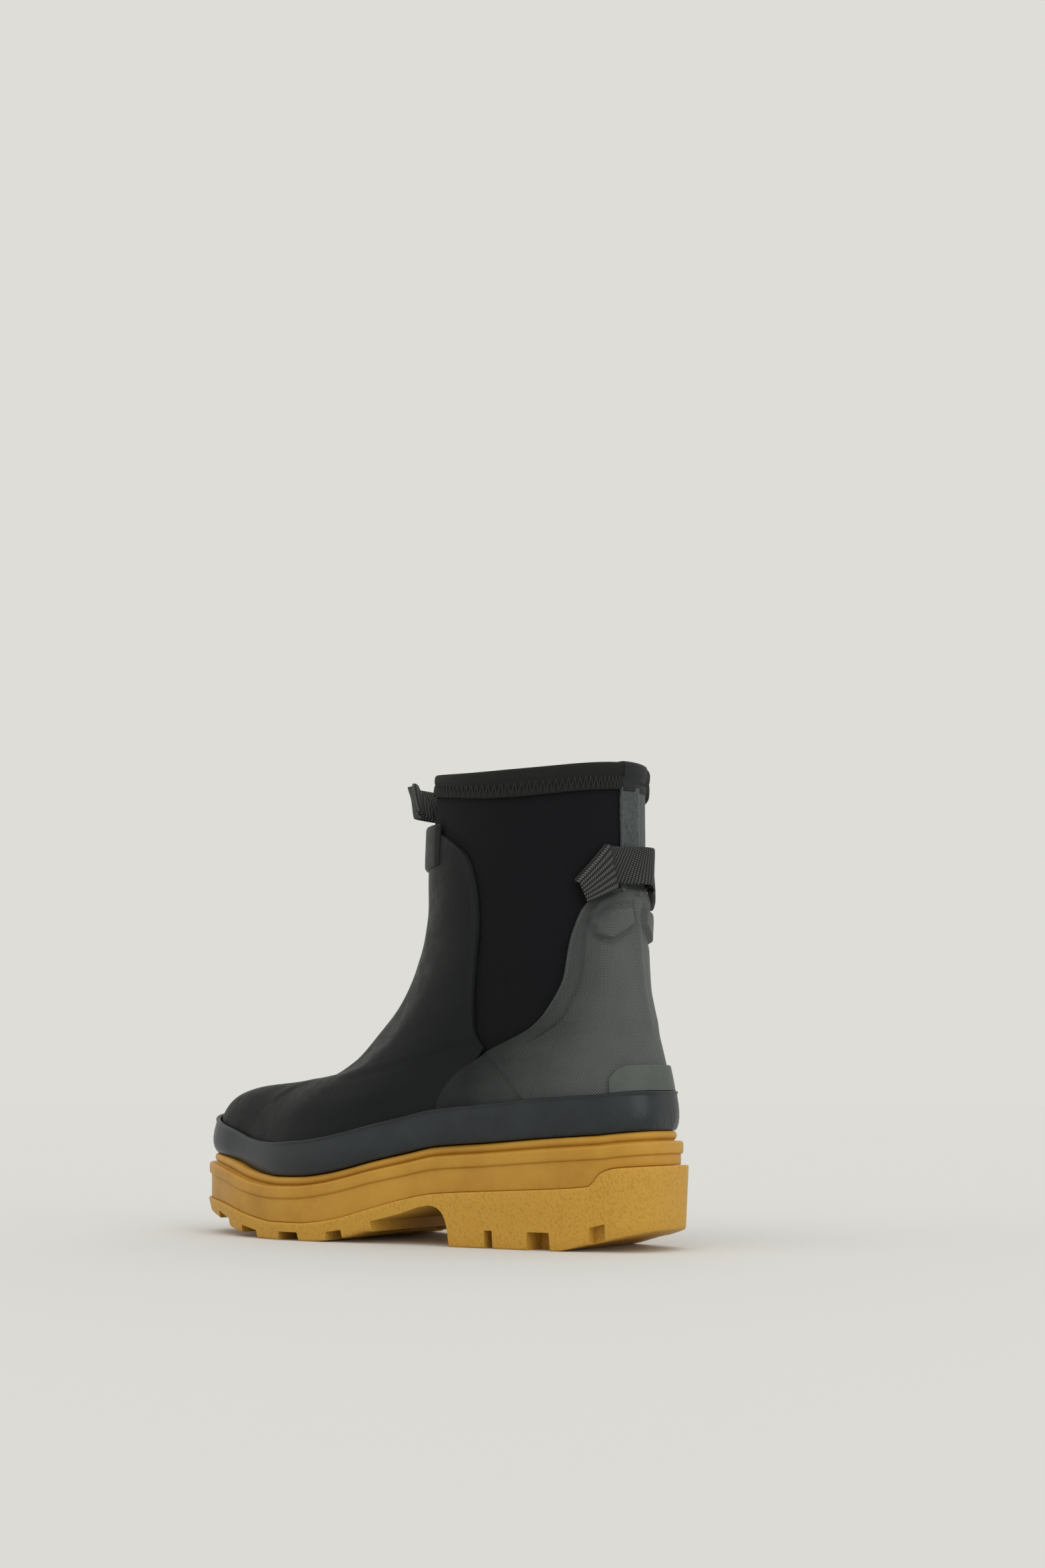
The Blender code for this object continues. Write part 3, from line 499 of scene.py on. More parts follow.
def makeBindingKnit():
    material, tree, shader = newLook("bindingKnit", (0.016, 0.017, 0.016), 0.82, Sheen_Weight=0.03,
                                     Sheen_Roughness=0.5, Specular_IOR_Level=0.12)
    place = surfacePlace(tree)
    ribs = calc(tree, "ADD", cosineWave(tree, splitParts(tree, place)["X"], 0.00085), 0.5)
    fuzz = noiseAt(tree, place, 1300, 3)
    both = calc(tree, "MULTIPLY", ribs, fuzz)
    stops = [(0.10, (0.0060, 0.0065, 0.0060)), (0.60, (0.021, 0.022, 0.020))]
    link(tree, ramp(tree, both, stops), shader, "Base Color")
    addBump(tree, shader, both, 0.00022)
    return material


def makeWebbing():
    material, tree, shader = newLook("ribbedWebbing", (0.03, 0.03, 0.03), 0.62, Specular_IOR_Level=0.20)
    lengthwise, widthwise, _ = splitParts(tree, surfacePlace(tree))
    rib, dot = 0.00150, 0.00094
    along = calc(tree, "DIVIDE", lengthwise, rib)
    column = calc(tree, "FLOOR", along)
    fromSide = calc(tree, "SUBTRACT", calc(tree, "SUBTRACT", along, column), 0.5)
    bulge = calc(tree, "SUBTRACT", 1.0, calc(tree, "MULTIPLY", calc(tree, "ABSOLUTE", fromSide), 1.7))
    stagger = calc(tree, "MULTIPLY", column, 0.5 * dot)
    dots = cosineWave(tree, calc(tree, "ADD", widthwise, stagger), dot)
    both = calc(tree, "MULTIPLY", bulge, calc(tree, "ADD", dots, 0.5))
    stops = [(0.18, (0.0045, 0.0048, 0.0048)), (0.55, (0.030, 0.032, 0.031)),
             (0.90, (0.115, 0.120, 0.115))]
    link(tree, ramp(tree, both, stops), shader, "Base Color")
    addBump(tree, shader, both, 0.00040)
    return material


def makeThread():
    material, tree, shader = newLook("bindingThread", (0.022, 0.024, 0.023), 0.55, Specular_IOR_Level=0.20)
    twist = addNode(tree, "ShaderNodeTexWave", {"Vector": surfacePlace(tree, own=False), "Scale": 900.0},
                    bands_direction="DIAGONAL")
    stops = [(0.2, (0.012, 0.013, 0.012)), (0.8, (0.036, 0.038, 0.036))]
    link(tree, ramp(tree, twist.outputs["Fac"], stops), shader, "Base Color")
    addBump(tree, shader, twist.outputs["Fac"], 0.0001)
    return material


vampRubber = makeVampRubber()
weaveRubber = makeWeaveRubber()
foxingRubber = makeFoxingRubber()
# Plain looks: name, colour, roughness, contrast and grain
patchRubber = makePlainRubber("patchRubber", (0.078, 0.090, 0.082), 0.46, 0.10, 160)
stripRubber = makePlainRubber("stripRubber", (0.056, 0.066, 0.068), 0.40, 0.45, 700)
capRubber = makePlainRubber("capRubber", (0.009, 0.012, 0.013), 0.50, 0.25, 300)
tabRubber = makePlainRubber("tabRubber", (0.009, 0.010, 0.010), 0.50, 0.25, 200)
footbedFelt = makePlainRubber("footbedFelt", (0.020, 0.020, 0.022), 0.90, 0.5, 900)
gumRubber = makeGumRubber()
grainRubber = makeGrainRubber()
jerseyKnit = makeKnit()
bindingKnit = makeBindingKnit()
ribbedWebbing = makeWebbing()
bindingThread = makeThread()
print("Materials made")


# Meshes
def newMesh(name, bm):
    mesh = bpy.data.meshes.new(name)
    bm.to_mesh(mesh)
    bm.free()
    return mesh


def newObject(name, data):
    made = bpy.data.objects.new(name, data)
    bpy.context.scene.collection.objects.link(made)
    return made


# A grid of vertices, with the column and the row of each
def startGrid(bm, columns, rows):
    if not bm.verts:
        bm.loops.layers.uv.new("surface")
        bm.verts.layers.int.new("order")
    made = bmesh.ops.create_grid(bm, x_segments=columns, y_segments=rows, size=0.5)
    verts = made["verts"]
    places = np.array([vert.co for vert in verts]) + 0.5
    i = np.rint(places[:, 0] * columns).astype(int)
    j = np.rint(places[:, 1] * rows).astype(int)
    return verts, i, j


def setPlaces(verts, points):
    for vert, point in zip(verts, points + toFrame):
        vert.co = point


def writeSurface(bm, verts, across, up):
    layer = bm.loops.layers.uv["surface"]
    lengths = dict(zip(verts, zip(across, up)))
    for face in bm.faces:
        for loop in face.loops:
            loop[layer].uv = lengths[loop.vert]


# Lays the surface's own lengths on it, measured across from its middle and up from its foot
def setSurface(bm, verts, i, j, points, columns, rows):
    table = np.zeros((rows + 1, columns + 1, 3))
    table[j, i] = points
    across = np.zeros((rows + 1, columns + 1))
    across[:, 1:] = np.cumsum(np.linalg.norm(np.diff(table, axis=1), axis=-1), axis=1)
    across -= across[:, columns // 2][:, None]
    up = np.zeros((rows + 1, columns + 1))
    up[1:] = np.cumsum(np.linalg.norm(np.diff(table, axis=0), axis=-1), axis=0)
    writeSurface(bm, verts, across[j, i], up[j, i])


def finishPiece(name, bm, material, nodes, sharp=38):
    bmesh.ops.recalc_face_normals(bm, faces=bm.faces)
    mesh = newMesh(name, bm)
    mesh.shade_smooth()
    mesh.set_sharp_from_angle(angle=math.radians(sharp))
    mesh.materials.append(material)
    piece = newObject(name, mesh)
    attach(piece, "root")
    if nodes:
        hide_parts(*nodes)
    return piece


# Extrudes every face and returns the new vertices
def extrudeFaces(bm):
    made = bmesh.ops.extrude_face_region(bm, geom=list(bm.faces), use_keep_orig=True)
    return [item for item in made["geom"] if isinstance(item, bmesh.types.BMVert)]


# A ring that is closed round the boot and round its own section. place takes the turn
# and the row of the section
def makeRing(name, columns, rows, place, material, nodes):
    bm = bmesh.new()
    verts, i, j = startGrid(bm, columns, rows)
    points = place(-1 + 2 * i / columns, j)
    setPlaces(verts, points)
    setSurface(bm, verts, i, j, points, columns, rows)
    bmesh.ops.remove_doubles(bm, verts=bm.verts, dist=0.000002)
    finishPiece(name, bm, material, nodes)


# A skin with an outside, an inside and rounded edges
def makeSkin(name, columns, rows, outer, inner, material, nodes):
    bm = bmesh.new()
    verts, i, j = startGrid(bm, columns, rows)
    outside, inside = outer(i, j), inner(i, j)
    setPlaces(verts, outside)
    setSurface(bm, verts, i, j, outside, columns, rows)
    order = bm.verts.layers.int["order"]
    for number, vert in enumerate(verts):
        vert[order] = number
    inside = inside + toFrame
    for vert in extrudeFaces(bm):
        vert.co = inside[vert[order]]
    finishPiece(name, bm, material, nodes)


# A skin laid on the upper. sheet gives the turn and the level of each place, and what
# else its outer offset needs
def layOnUpper(name, form, sheet, outer, under, material, node):
    def place(i, j, offset):
        at = sheet(i, j)
        return onShell(at[0], at[1], offset(*at))

    makeSkin(name, form["columns"], form["rows"], lambda i, j: place(i, j, outer),
             lambda i, j: place(i, j, lambda *at: under), material, [node])


# Steps along a sheet of count parts, with three narrow ones inside each band at its ends
def sheetSteps(step, count, start, stop, band, edgeSteps=3):
    near = np.clip(step / edgeSteps, 0, 1)
    far = np.clip((count - step) / edgeSteps, 0, 1)
    middle = np.clip((step - edgeSteps) / (count - 2 * edgeSteps), 0, 1)
    return start + band * near + (stop - start - 2 * band) * middle + band * (1 - far)


def roundEdge(distance, radius):
    share = np.clip(distance / radius, 0, 1)
    return np.sqrt(1 - (1 - share) ** 2)


# Upper
upperKnit = {"columns": 280, "outside": 150, "inside": 84, "softness": 0.00018}


def makeUpper():
    outside = np.linspace(0, 1, upperKnit["outside"])
    inside = np.linspace(1, 0, upperKnit["inside"])
    levels = np.concatenate([outside, inside, [0.0]])
    wall = boot["upperWall"]
    offsets = np.concatenate([outside * 0, inside * 0 - wall, [0.0]])

    def place(turn, row):
        level, offset = levels[row], offsets[row]
        soft = np.sin(turn * 23 + level * 17) * np.sin(level * 31 - turn * 9)
        soft = soft * smoothStep((level - 0.2) / 0.1) * smoothStep((0.93 - level) / 0.05)
        return onShell(turn, level, offset + upperKnit["softness"] * soft)

    makeRing("upperKnit", upperKnit["columns"], len(levels) - 1, place, jerseyKnit, ["upper"])


# Vamp: edges as level and turn
vampForm = {
    "columns": 260, "rows": 130, "top": 0.911, "band": 0.0016, "lip": 0.00035,
    "seamHeight": 0.00110, "seamWidth": 0.0008, "creaseHeight": 0.00060, "creaseWidth": 0.0030,
    "seamShare": 0.245, "seamCrowding": 10.0, "softness": 0.00012,
}
vampEdgeRows = np.array([
    (0.00, 0.436), (0.12, 0.435), (0.17, 0.430), (0.228, 0.417), (0.262, 0.402), (0.30, 0.398),
    (0.33, 0.407), (0.41, 0.435), (0.61, 0.495), (0.76, 0.51), (0.81, 0.52), (0.855, 0.54),
    (0.89, 0.59), (0.911, 0.66),
])
# Routes of the seam and the crease on the toe, as places
toeSeam = [
    (0.2392, 0.0354, 0.0534), (0.2385, 0.0337, 0.0584), (0.2378, 0.0309, 0.0642),
    (0.2336, 0.0294, 0.0681), (0.2256, 0.0279, 0.0722),
]
toeCrease = [(0.2256, 0.0279, 0.0722), (0.2161, 0.0238, 0.0775), (0.2062, 0.0237, 0.0796),
             (0.1864, 0.0323, 0.0805)]


def makeVamp():
    columns, rows = vampForm["columns"], vampForm["rows"]
    shares = np.linspace(0, 1, 4001)
    fromSeam = np.minimum(shares, 1 - shares) - vampForm["seamShare"]
    crowding = 1 + vampForm["seamCrowding"] * np.exp(-(fromSeam / 0.016) ** 2)
    crowding = np.concatenate([[0], np.cumsum((crowding[1:] + crowding[:-1]) / 2)])
    steps = np.interp(np.linspace(0, crowding[-1], columns + 1), crowding, shares) * columns

    def sheet(i, j):
        i = np.where((i > 3) & (i < columns - 3), steps[i], i)
        level = sheetSteps(j, rows, 0.0, vampForm["top"], 0.007)
        start = readRows(vampEdgeRows, 1, level)
        band = vampForm["band"] / np.interp(level, turnSizeLevels, turnSizes)
        turn = sheetSteps(i, columns, start, 2 - start, band)
        return turn, level, start

    def outer(turn, level, start):
        fromSide = np.minimum(turn - start, 2 - start - turn) * localTurnSize(turn, level)
        fromTop = (vampForm["top"] - level) * shaftHeight * 1.1
        distance = np.minimum(fromSide, fromTop)
        wall = boot["vampOuter"] - boot["skinInner"]
        offset = boot["skinInner"] + wall * (0.25 + 0.75 * roundEdge(distance, 0.0011))
        lip = np.exp(-((distance - 0.0012) / 0.0006) ** 2)
        offset = offset + vampForm["lip"] * lip * smoothStep((level - 0.30) / 0.04)
        rest = shellPoints(turn, level)
        mirrored = rest.copy()
        mirrored[..., 1] = np.abs(rest[..., 1])
        seam = np.exp(-(routeDistance(mirrored, toeSeam) / vampForm["seamWidth"]) ** 2)
        crease = np.exp(-(routeDistance(mirrored, toeCrease) / vampForm["creaseWidth"]) ** 2)
        offset = offset + vampForm["seamHeight"] * seam + vampForm["creaseHeight"] * crease
        soft = np.sin(rest[..., 0] * 150 + rest[..., 2] * 90) * np.sin(rest[..., 2] * 130 + 2)
        return offset + vampForm["softness"] * soft

    layOnUpper("vampShell", vampForm, sheet, outer, boot["skinInner"], vampRubber, "vamp")


# Counter, with the folded ends of the webbing under it
counterForm = {
    "columns": 230, "rows": 170, "top": 0.765, "band": 0.0016, "seamRidge": 0.0010,
    "step": 0.00095, "valley": 0.0004, "anchorRise": 0.0018, "moat": 0.0009, "hiddenRidge": 0.00090,
}
counterEdgeRows = np.array([
    (0.00, 0.440), (0.12, 0.439), (0.17, 0.434), (0.228, 0.421), (0.262, 0.406), (0.294, 0.392),
    (0.32, 0.370), (0.36, 0.34), (0.43, 0.315), (0.51, 0.298), (0.61, 0.293), (0.672, 0.278),
    (0.722, 0.250), (0.757, 0.147), (0.765, 0.11),
])
# Corners of a folded anchor, and the route of the edge that shows under the counter
anchorCorners = [(0.0216, 0.1530), (0.0135, 0.1600), (0.0050, 0.1612), (0.0032, 0.1530),
                 (0.0142, 0.1450), (0.0200, 0.1470)]
hiddenEdge = [(0.0853, 0.0947), (0.0745, 0.0840), (0.0600, 0.0680)]


def counterOffset(turn, level, edge, size):
    side = np.abs(wrapTurn(turn))
    rest = shellPoints(turn, level)
    above = smoothStep((level - 0.27) / 0.06)
    lateral = np.stack([np.abs(rest[..., 1]), rest[..., 2]], axis=-1)
    profile = np.stack([rest[..., 0], rest[..., 2]], axis=-1)
    form = counterForm
    distance = (edge - side) * size
    stepAt = (0.035 + 0.06 * (0.66 - level)) * size
    raised = smoothStep((distance - stepAt) / 0.0016) * above
    valley = np.exp(-((distance - stepAt + 0.0004) / 0.0009) ** 2) * above
    below = 1 - smoothStep((level - 0.655) / 0.03)
    ridge = form["seamRidge"] * smoothStep((level - 0.24) / 0.10) * below
    ridge = ridge * np.exp(-(side * size / 0.0024) ** 2)
    depth = insideDepth(lateral, anchorCorners)
    anchor = form["anchorRise"] * smoothStep((depth + 0.0004) / 0.0018)
    moat = form["moat"] * np.exp(-((depth + 0.0012) / 0.0010) ** 2)
    hidden = form["hiddenRidge"] * np.exp(-(routeDistance(profile, hiddenEdge) / 0.0008) ** 2)
    rise = form["step"] * raised - form["valley"] * valley + ridge + anchor - moat + hidden
    return boot["counterOuter"] - 0.0002 + rise


def makeCounter():
    columns, rows = counterForm["columns"], counterForm["rows"]

    def sheet(i, j):
        level = sheetSteps(j, rows, 0.0, counterForm["top"], 0.006)
        edge = readRows(counterEdgeRows, 1, level)
        band = counterForm["band"] / np.interp(level, turnSizeLevels, turnSizes)
        turn = sheetSteps(i, columns, -edge, edge, band)
        return turn, level, edge

    def outer(turn, level, edge):
        size = localTurnSize(turn, level)
        fromSide = (edge - np.abs(turn)) * size
        slant = np.where(level > 0.69, 0.62, 1.0)
        distance = np.minimum(fromSide * slant, (counterForm["top"] - level) * shaftHeight)
        inside = boot["skinInner"]
        wall = counterOffset(turn, level, edge, size) - inside
        return inside + wall * (0.25 + 0.75 * roundEdge(distance, 0.0012))

    layOnUpper("counterShell", counterForm, sheet, outer, boot["skinInner"], weaveRubber,
               "heel_counter")


# Foxing band
foxingForm = {"columns": 420}
foxingTopRows = np.array([
    (0.00, 0.120), (0.30, 0.122), (0.45, 0.114), (0.58, 0.104), (0.70, 0.091), (0.80, 0.099),
    (0.90, 0.113), (1.00, 0.122),
])
# Section: share of the height, and how far it stands beyond the band's plain outside
foxingSection = [
    (0.00, -0.0016), (0.010, -0.0009), (0.035, -0.0004), (0.10, 0.0), (0.22, 0.0003), (0.36, 0.0004),
    (0.52, 0.0003), (0.68, 0.0001), (0.80, -0.0001), (0.88, -0.0002), (0.915, -0.0002), (0.935, 0.0),
    (0.955, 0.0003), (0.975, 0.0003), (0.992, 0.0), (1.000, -0.0006), (1.003, -0.0014),
]


def foxingTop(turn):
    return readRows(foxingTopRows, 1, np.abs(wrapTurn(turn)))


def makeFoxing():
    shares = np.array([row[0] for row in foxingSection] + [1.0, 0.5, 0.0, 0.0])
    plain = boot["foxingOuter"]
    offsets = np.array([plain + row[1] for row in foxingSection] + [boot["foxingInner"]] * 3
                       + [plain + foxingSection[0][1]])

    def place(turn, row):
        return onShell(turn, foxingTop(turn) * shares[row], offsets[row])

    makeRing("foxingBand", foxingForm["columns"], len(shares) - 1, place, foxingRubber,
             ["foxing_band"])


# Heel patch
patchForm = {"columns": 90, "rows": 22, "top": 0.197, "turn": 0.19, "wall": 0.0013}


def makeHeelPatch():
    columns, rows = patchForm["columns"], patchForm["rows"]
    start = foxingTop(np.array([0.0]))[0] + 0.002

    def sheet(i, j):
        turn = sheetSteps(i, columns, -patchForm["turn"], patchForm["turn"], 0.008)
        share = np.abs(turn) / patchForm["turn"]
        drop = 1 - np.sqrt(np.clip(1 - (np.clip(share - 0.70, 0, 1) / 0.30) ** 2, 0, 1))
        top = patchForm["top"] - (patchForm["top"] - start) * 0.72 * drop
        return turn, sheetSteps(j, rows, start, top, 0.004), top

    def outer(turn, level, top):
        fromSide = (patchForm["turn"] - np.abs(turn)) * localTurnSize(turn, level)
        fromTop = (top - level) * shaftHeight
        edge = roundEdge(np.minimum(fromSide, fromTop), 0.0008)
        return boot["counterOuter"] + 0.0003 + patchForm["wall"] * edge

    layOnUpper("heelPatch", patchForm, sheet, outer, boot["counterOuter"] - 0.0004, patchRubber,
               "heel_patch")


# Strip up the back
stripForm = {"columns": 44, "rows": 60, "halfWidth": 0.0095, "low": 0.745, "high": 0.962,
             "wall": 0.0011, "middle": 0.0007}
# Length of one unit of turn at the back and the front of the shaft
shaftTurnSize = 0.0808


def makeBackStrip():
    columns, rows = stripForm["columns"], stripForm["rows"]
    half = stripForm["halfWidth"] / shaftTurnSize

    def sheet(i, j):
        turn = sheetSteps(i, columns, -half, half, 0.006)
        return turn, sheetSteps(j, rows, stripForm["low"], stripForm["high"], 0.004)

    def outer(turn, level):
        across = np.abs(turn) * shaftTurnSize
        edge = roundEdge(stripForm["halfWidth"] - across, 0.0008)
        middle = np.exp(-(across / 0.0021) ** 4)
        lifted = 0.0016 * smoothStep((0.775 - level) / 0.02)
        return boot["skinInner"] + lifted + stripForm["wall"] * edge + stripForm["middle"] * middle

    layOnUpper("backStrip", stripForm, sheet, outer, boot["skinInner"] - 0.0002, stripRubber,
               "back_strip")


# Collar binding: share of its height, offset and lift round its section, from the outer
# foot over the top to the inner foot, and the level of its foot at each turn
bindingForm = {"columns": 480, "fine": 4, "stitches": 128}
bindingSection = np.array([
    (0.0, 0.0004, 0), (0.0, 0.0012, 0), (0.05, 0.0017, 0), (0.20, 0.0017, 0), (0.40, 0.0014, 0),
    (0.60, 0.0016, 0), (0.75, 0.0020, 0), (0.90, 0.0021, 0), (1.0, 0.0021, -0.0002),
    (1.0, 0.0017, 0.0008), (1.0, 0.0006, 0.0014), (1.0, -0.0012, 0.0015), (1.0, -0.0032, 0.0014),
    (1.0, -0.0044, 0.0008), (1.0, -0.0049, -0.0002), (0.85, -0.0049, 0), (0.65, -0.0048, 0),
    (0.40, -0.0045, 0), (0.24, -0.0046, 0), (0.20, -0.0042, 0), (0.20, -0.0032, 0),
])
bindingFootRows = np.array([(0.00, 0.957), (0.40, 0.957), (0.64, 0.969), (1.00, 0.978)])


def bindingRows():
    knots = np.arange(len(bindingSection), dtype=float)
    steps = np.linspace(0, knots[-1], (len(knots) - 1) * bindingForm["fine"] + 1)
    return [readCurve(knots, bindingSection[:, column], steps) for column in range(3)]


def bindingLevel(turn, share):
    foot = readRows(bindingFootRows, 1, np.abs(wrapTurn(turn)))
    return foot + (1 - foot) * share


def bindingPlace(turn, share, offset, lift):
    point = onShell(turn, bindingLevel(turn, share), offset)
    point[..., 2] += lift
    return point


def makeBinding():
    shares, offsets, lifts = bindingRows()
    shares = np.concatenate([shares, [0.6, 0.6, 0.0]])
    offsets = np.concatenate([offsets, [-0.0030, 0.0003, 0.0004]])
    lifts = np.concatenate([lifts, [0.0, 0.0, 0.0]])

    def place(turn, row):
        share, offset = shares[row], offsets[row]
        stitched = np.exp(-((share - 0.30) / 0.19) ** 2)
        wave = np.abs(np.sin(math.pi * bindingForm["stitches"] * (turn + 0.003 * (share - 0.25)) / 2))
        side = np.sign(offset)
        pull = -0.00040 * side * stitched * (1 - wave)
        return bindingPlace(turn, share, offset + pull * (lifts[row] == 0), lifts[row])

    makeRing("collarBinding", bindingForm["columns"], len(shares) - 1, place, bindingKnit,
             ["collar_binding"])


# Slanted stitches round the binding, outside and inside
def makeStitches():
    count = bindingForm["stitches"]
    bm = bmesh.new()
    for offset, low, high in ((0.0017, 0.06, 0.55), (-0.0048, 0.24, 0.62)):
        for number in range(2 * count):
            rising = number % 2 == 0
            turn = -1 + number / count
            reach = 0.42 / count
            across = np.array([turn - reach, turn + reach])
            shares = np.array([low, high] if rising else [high, low])
            points = onShell(across, bindingLevel(across, shares), offset) + toFrame
            start, stop = Vector(points[0]), Vector(points[1])
            axis = stop - start
            made = bmesh.ops.create_uvsphere(bm, u_segments=6, v_segments=5, radius=1.0)
            turned = axis.to_track_quat("Z", "Y").to_matrix().to_4x4()
            size = Matrix.Diagonal((0.00042, 0.00042, axis.length * 0.58, 1))
            bmesh.ops.transform(bm, verts=made["verts"],
                                matrix=Matrix.Translation((start + stop) / 2) @ turned @ size)
    finishPiece("bindingStitches", bm, bindingThread, [])


# Smooth cap over the join of the binding, at the back
capForm = {"columns": 40, "halfTurn": 0.108, "wall": 0.0006}


def makeCollarCap():
    shares, offsets, lifts = bindingRows()
    count = len(shares) - 1
    columns = capForm["columns"]
    rise = np.concatenate([[0.0], np.ones(count - 1), [0.0]])
    middle = boot["upperWall"] / -2
    outward = np.sign(offsets - middle) * np.clip(np.abs(offsets - middle) / 0.003, 0, 1)
    upward = np.where(lifts > 0, lifts / bindingSection[:, 2].max(), 0)

    def place(i, j, wall):
        turn = sheetSteps(i, columns, -capForm["halfTurn"], capForm["halfTurn"], 0.006)
        across = (capForm["halfTurn"] - np.abs(turn)) * shaftTurnSize
        edge = wall * roundEdge(across, 0.0006) * rise[j] if wall > 0 else wall + 0 * across
        low = np.where(j < count / 3, 0.07, 0.0)
        return bindingPlace(turn, shares[j] - low, offsets[j] + outward[j] * edge,
                            lifts[j] + upward[j] * edge)

    makeSkin("collarCap", columns, count, lambda i, j: place(i, j, capForm["wall"]),
             lambda i, j: place(i, j, -0.0004), capRubber, [])


# Tab over the roots of the front loop
tabForm = {"columns": 90, "rows": 34, "turn": 0.64, "bottom": 0.848, "top": 0.925, "wall": 0.0016}


def makeFrontTab():
    columns, rows = tabForm["columns"], tabForm["rows"]

    def sheet(i, j):
        turn = sheetSteps(i, columns, tabForm["turn"], 2 - tabForm["turn"], 0.020)
        level = sheetSteps(j, rows, tabForm["bottom"], tabForm["top"], 0.006)
        return turn, level

    def outer(turn, level):
        fromSide = (1 - tabForm["turn"] - np.abs(1 - turn)) * shaftTurnSize
        fromEnd = np.minimum(level - tabForm["bottom"], tabForm["top"] - level) * shaftHeight * 1.2
        edge = roundEdge(np.minimum(fromSide, fromEnd), 0.0017)
        return boot["vampOuter"] + 0.0003 + tabForm["wall"] * edge

    layOnUpper("frontTab", tabForm, sheet, outer, boot["vampOuter"] - 0.0002, tabRubber,
               "front_tab")


# Pull loops of folded webbing
loopForm = {"thickness": 0.0015, "bend": 0.0011, "barLift": 0.0140, "along": 260, "round": 28}
# The legs' edges at their crease and root are given off to the side, and root and rise
# over the boot's edge. fold, reach and the root's offsets are measured off the shaft
backLoop = {
    "front": False, "width": 0.0175, "rise": 0.0101, "creases": (0.0266, 0.016205),
    "roots": (0.0238, 0.0127925), "rootRise": -0.0076, "rootOffsets": (0.0048, 0.00525),
    "fold": 0.0015, "reach": 0.0100, "lean": 0.0, "flat": 1.0,
}
frontLoop = {
    "front": True, "width": 0.0152, "rise": 0.0126, "creases": (0.024073, 0.014665525),
    "roots": (0.021539, 0.0115772125), "rootRise": 0.0025, "rootOffsets": (0.0045, 0.00525),
    "fold": 0.0114, "reach": 0.0190, "lean": 0.0026, "flat": 1.8,
}


def signedPower(value, power):
    return np.sign(value) * np.abs(value) ** power


# Points off the shaft, from their distance to the side, height and offset
def shaftPoints(lateral, height, offset, front):
    size = np.abs(lateral)
    low, high = np.zeros_like(size), np.full_like(size, 0.5)
    level = levelAt(np.full_like(size, 0.9 if front else 0.1), height)
    for step in range(14):
        middle = (low + high) / 2
        turn = 1 - middle if front else middle
        if step % 4 == 3:
            level = levelAt(turn, height)
        nearer = shellPoints(turn, level)[..., 1] < size
        low, high = np.where(nearer, middle, low), np.where(nearer, high, middle)
    turn = 1 - low if front else low
    turn = np.copysign(turn, lateral)
    return onShell(turn, levelAt(np.abs(turn), height), offset)


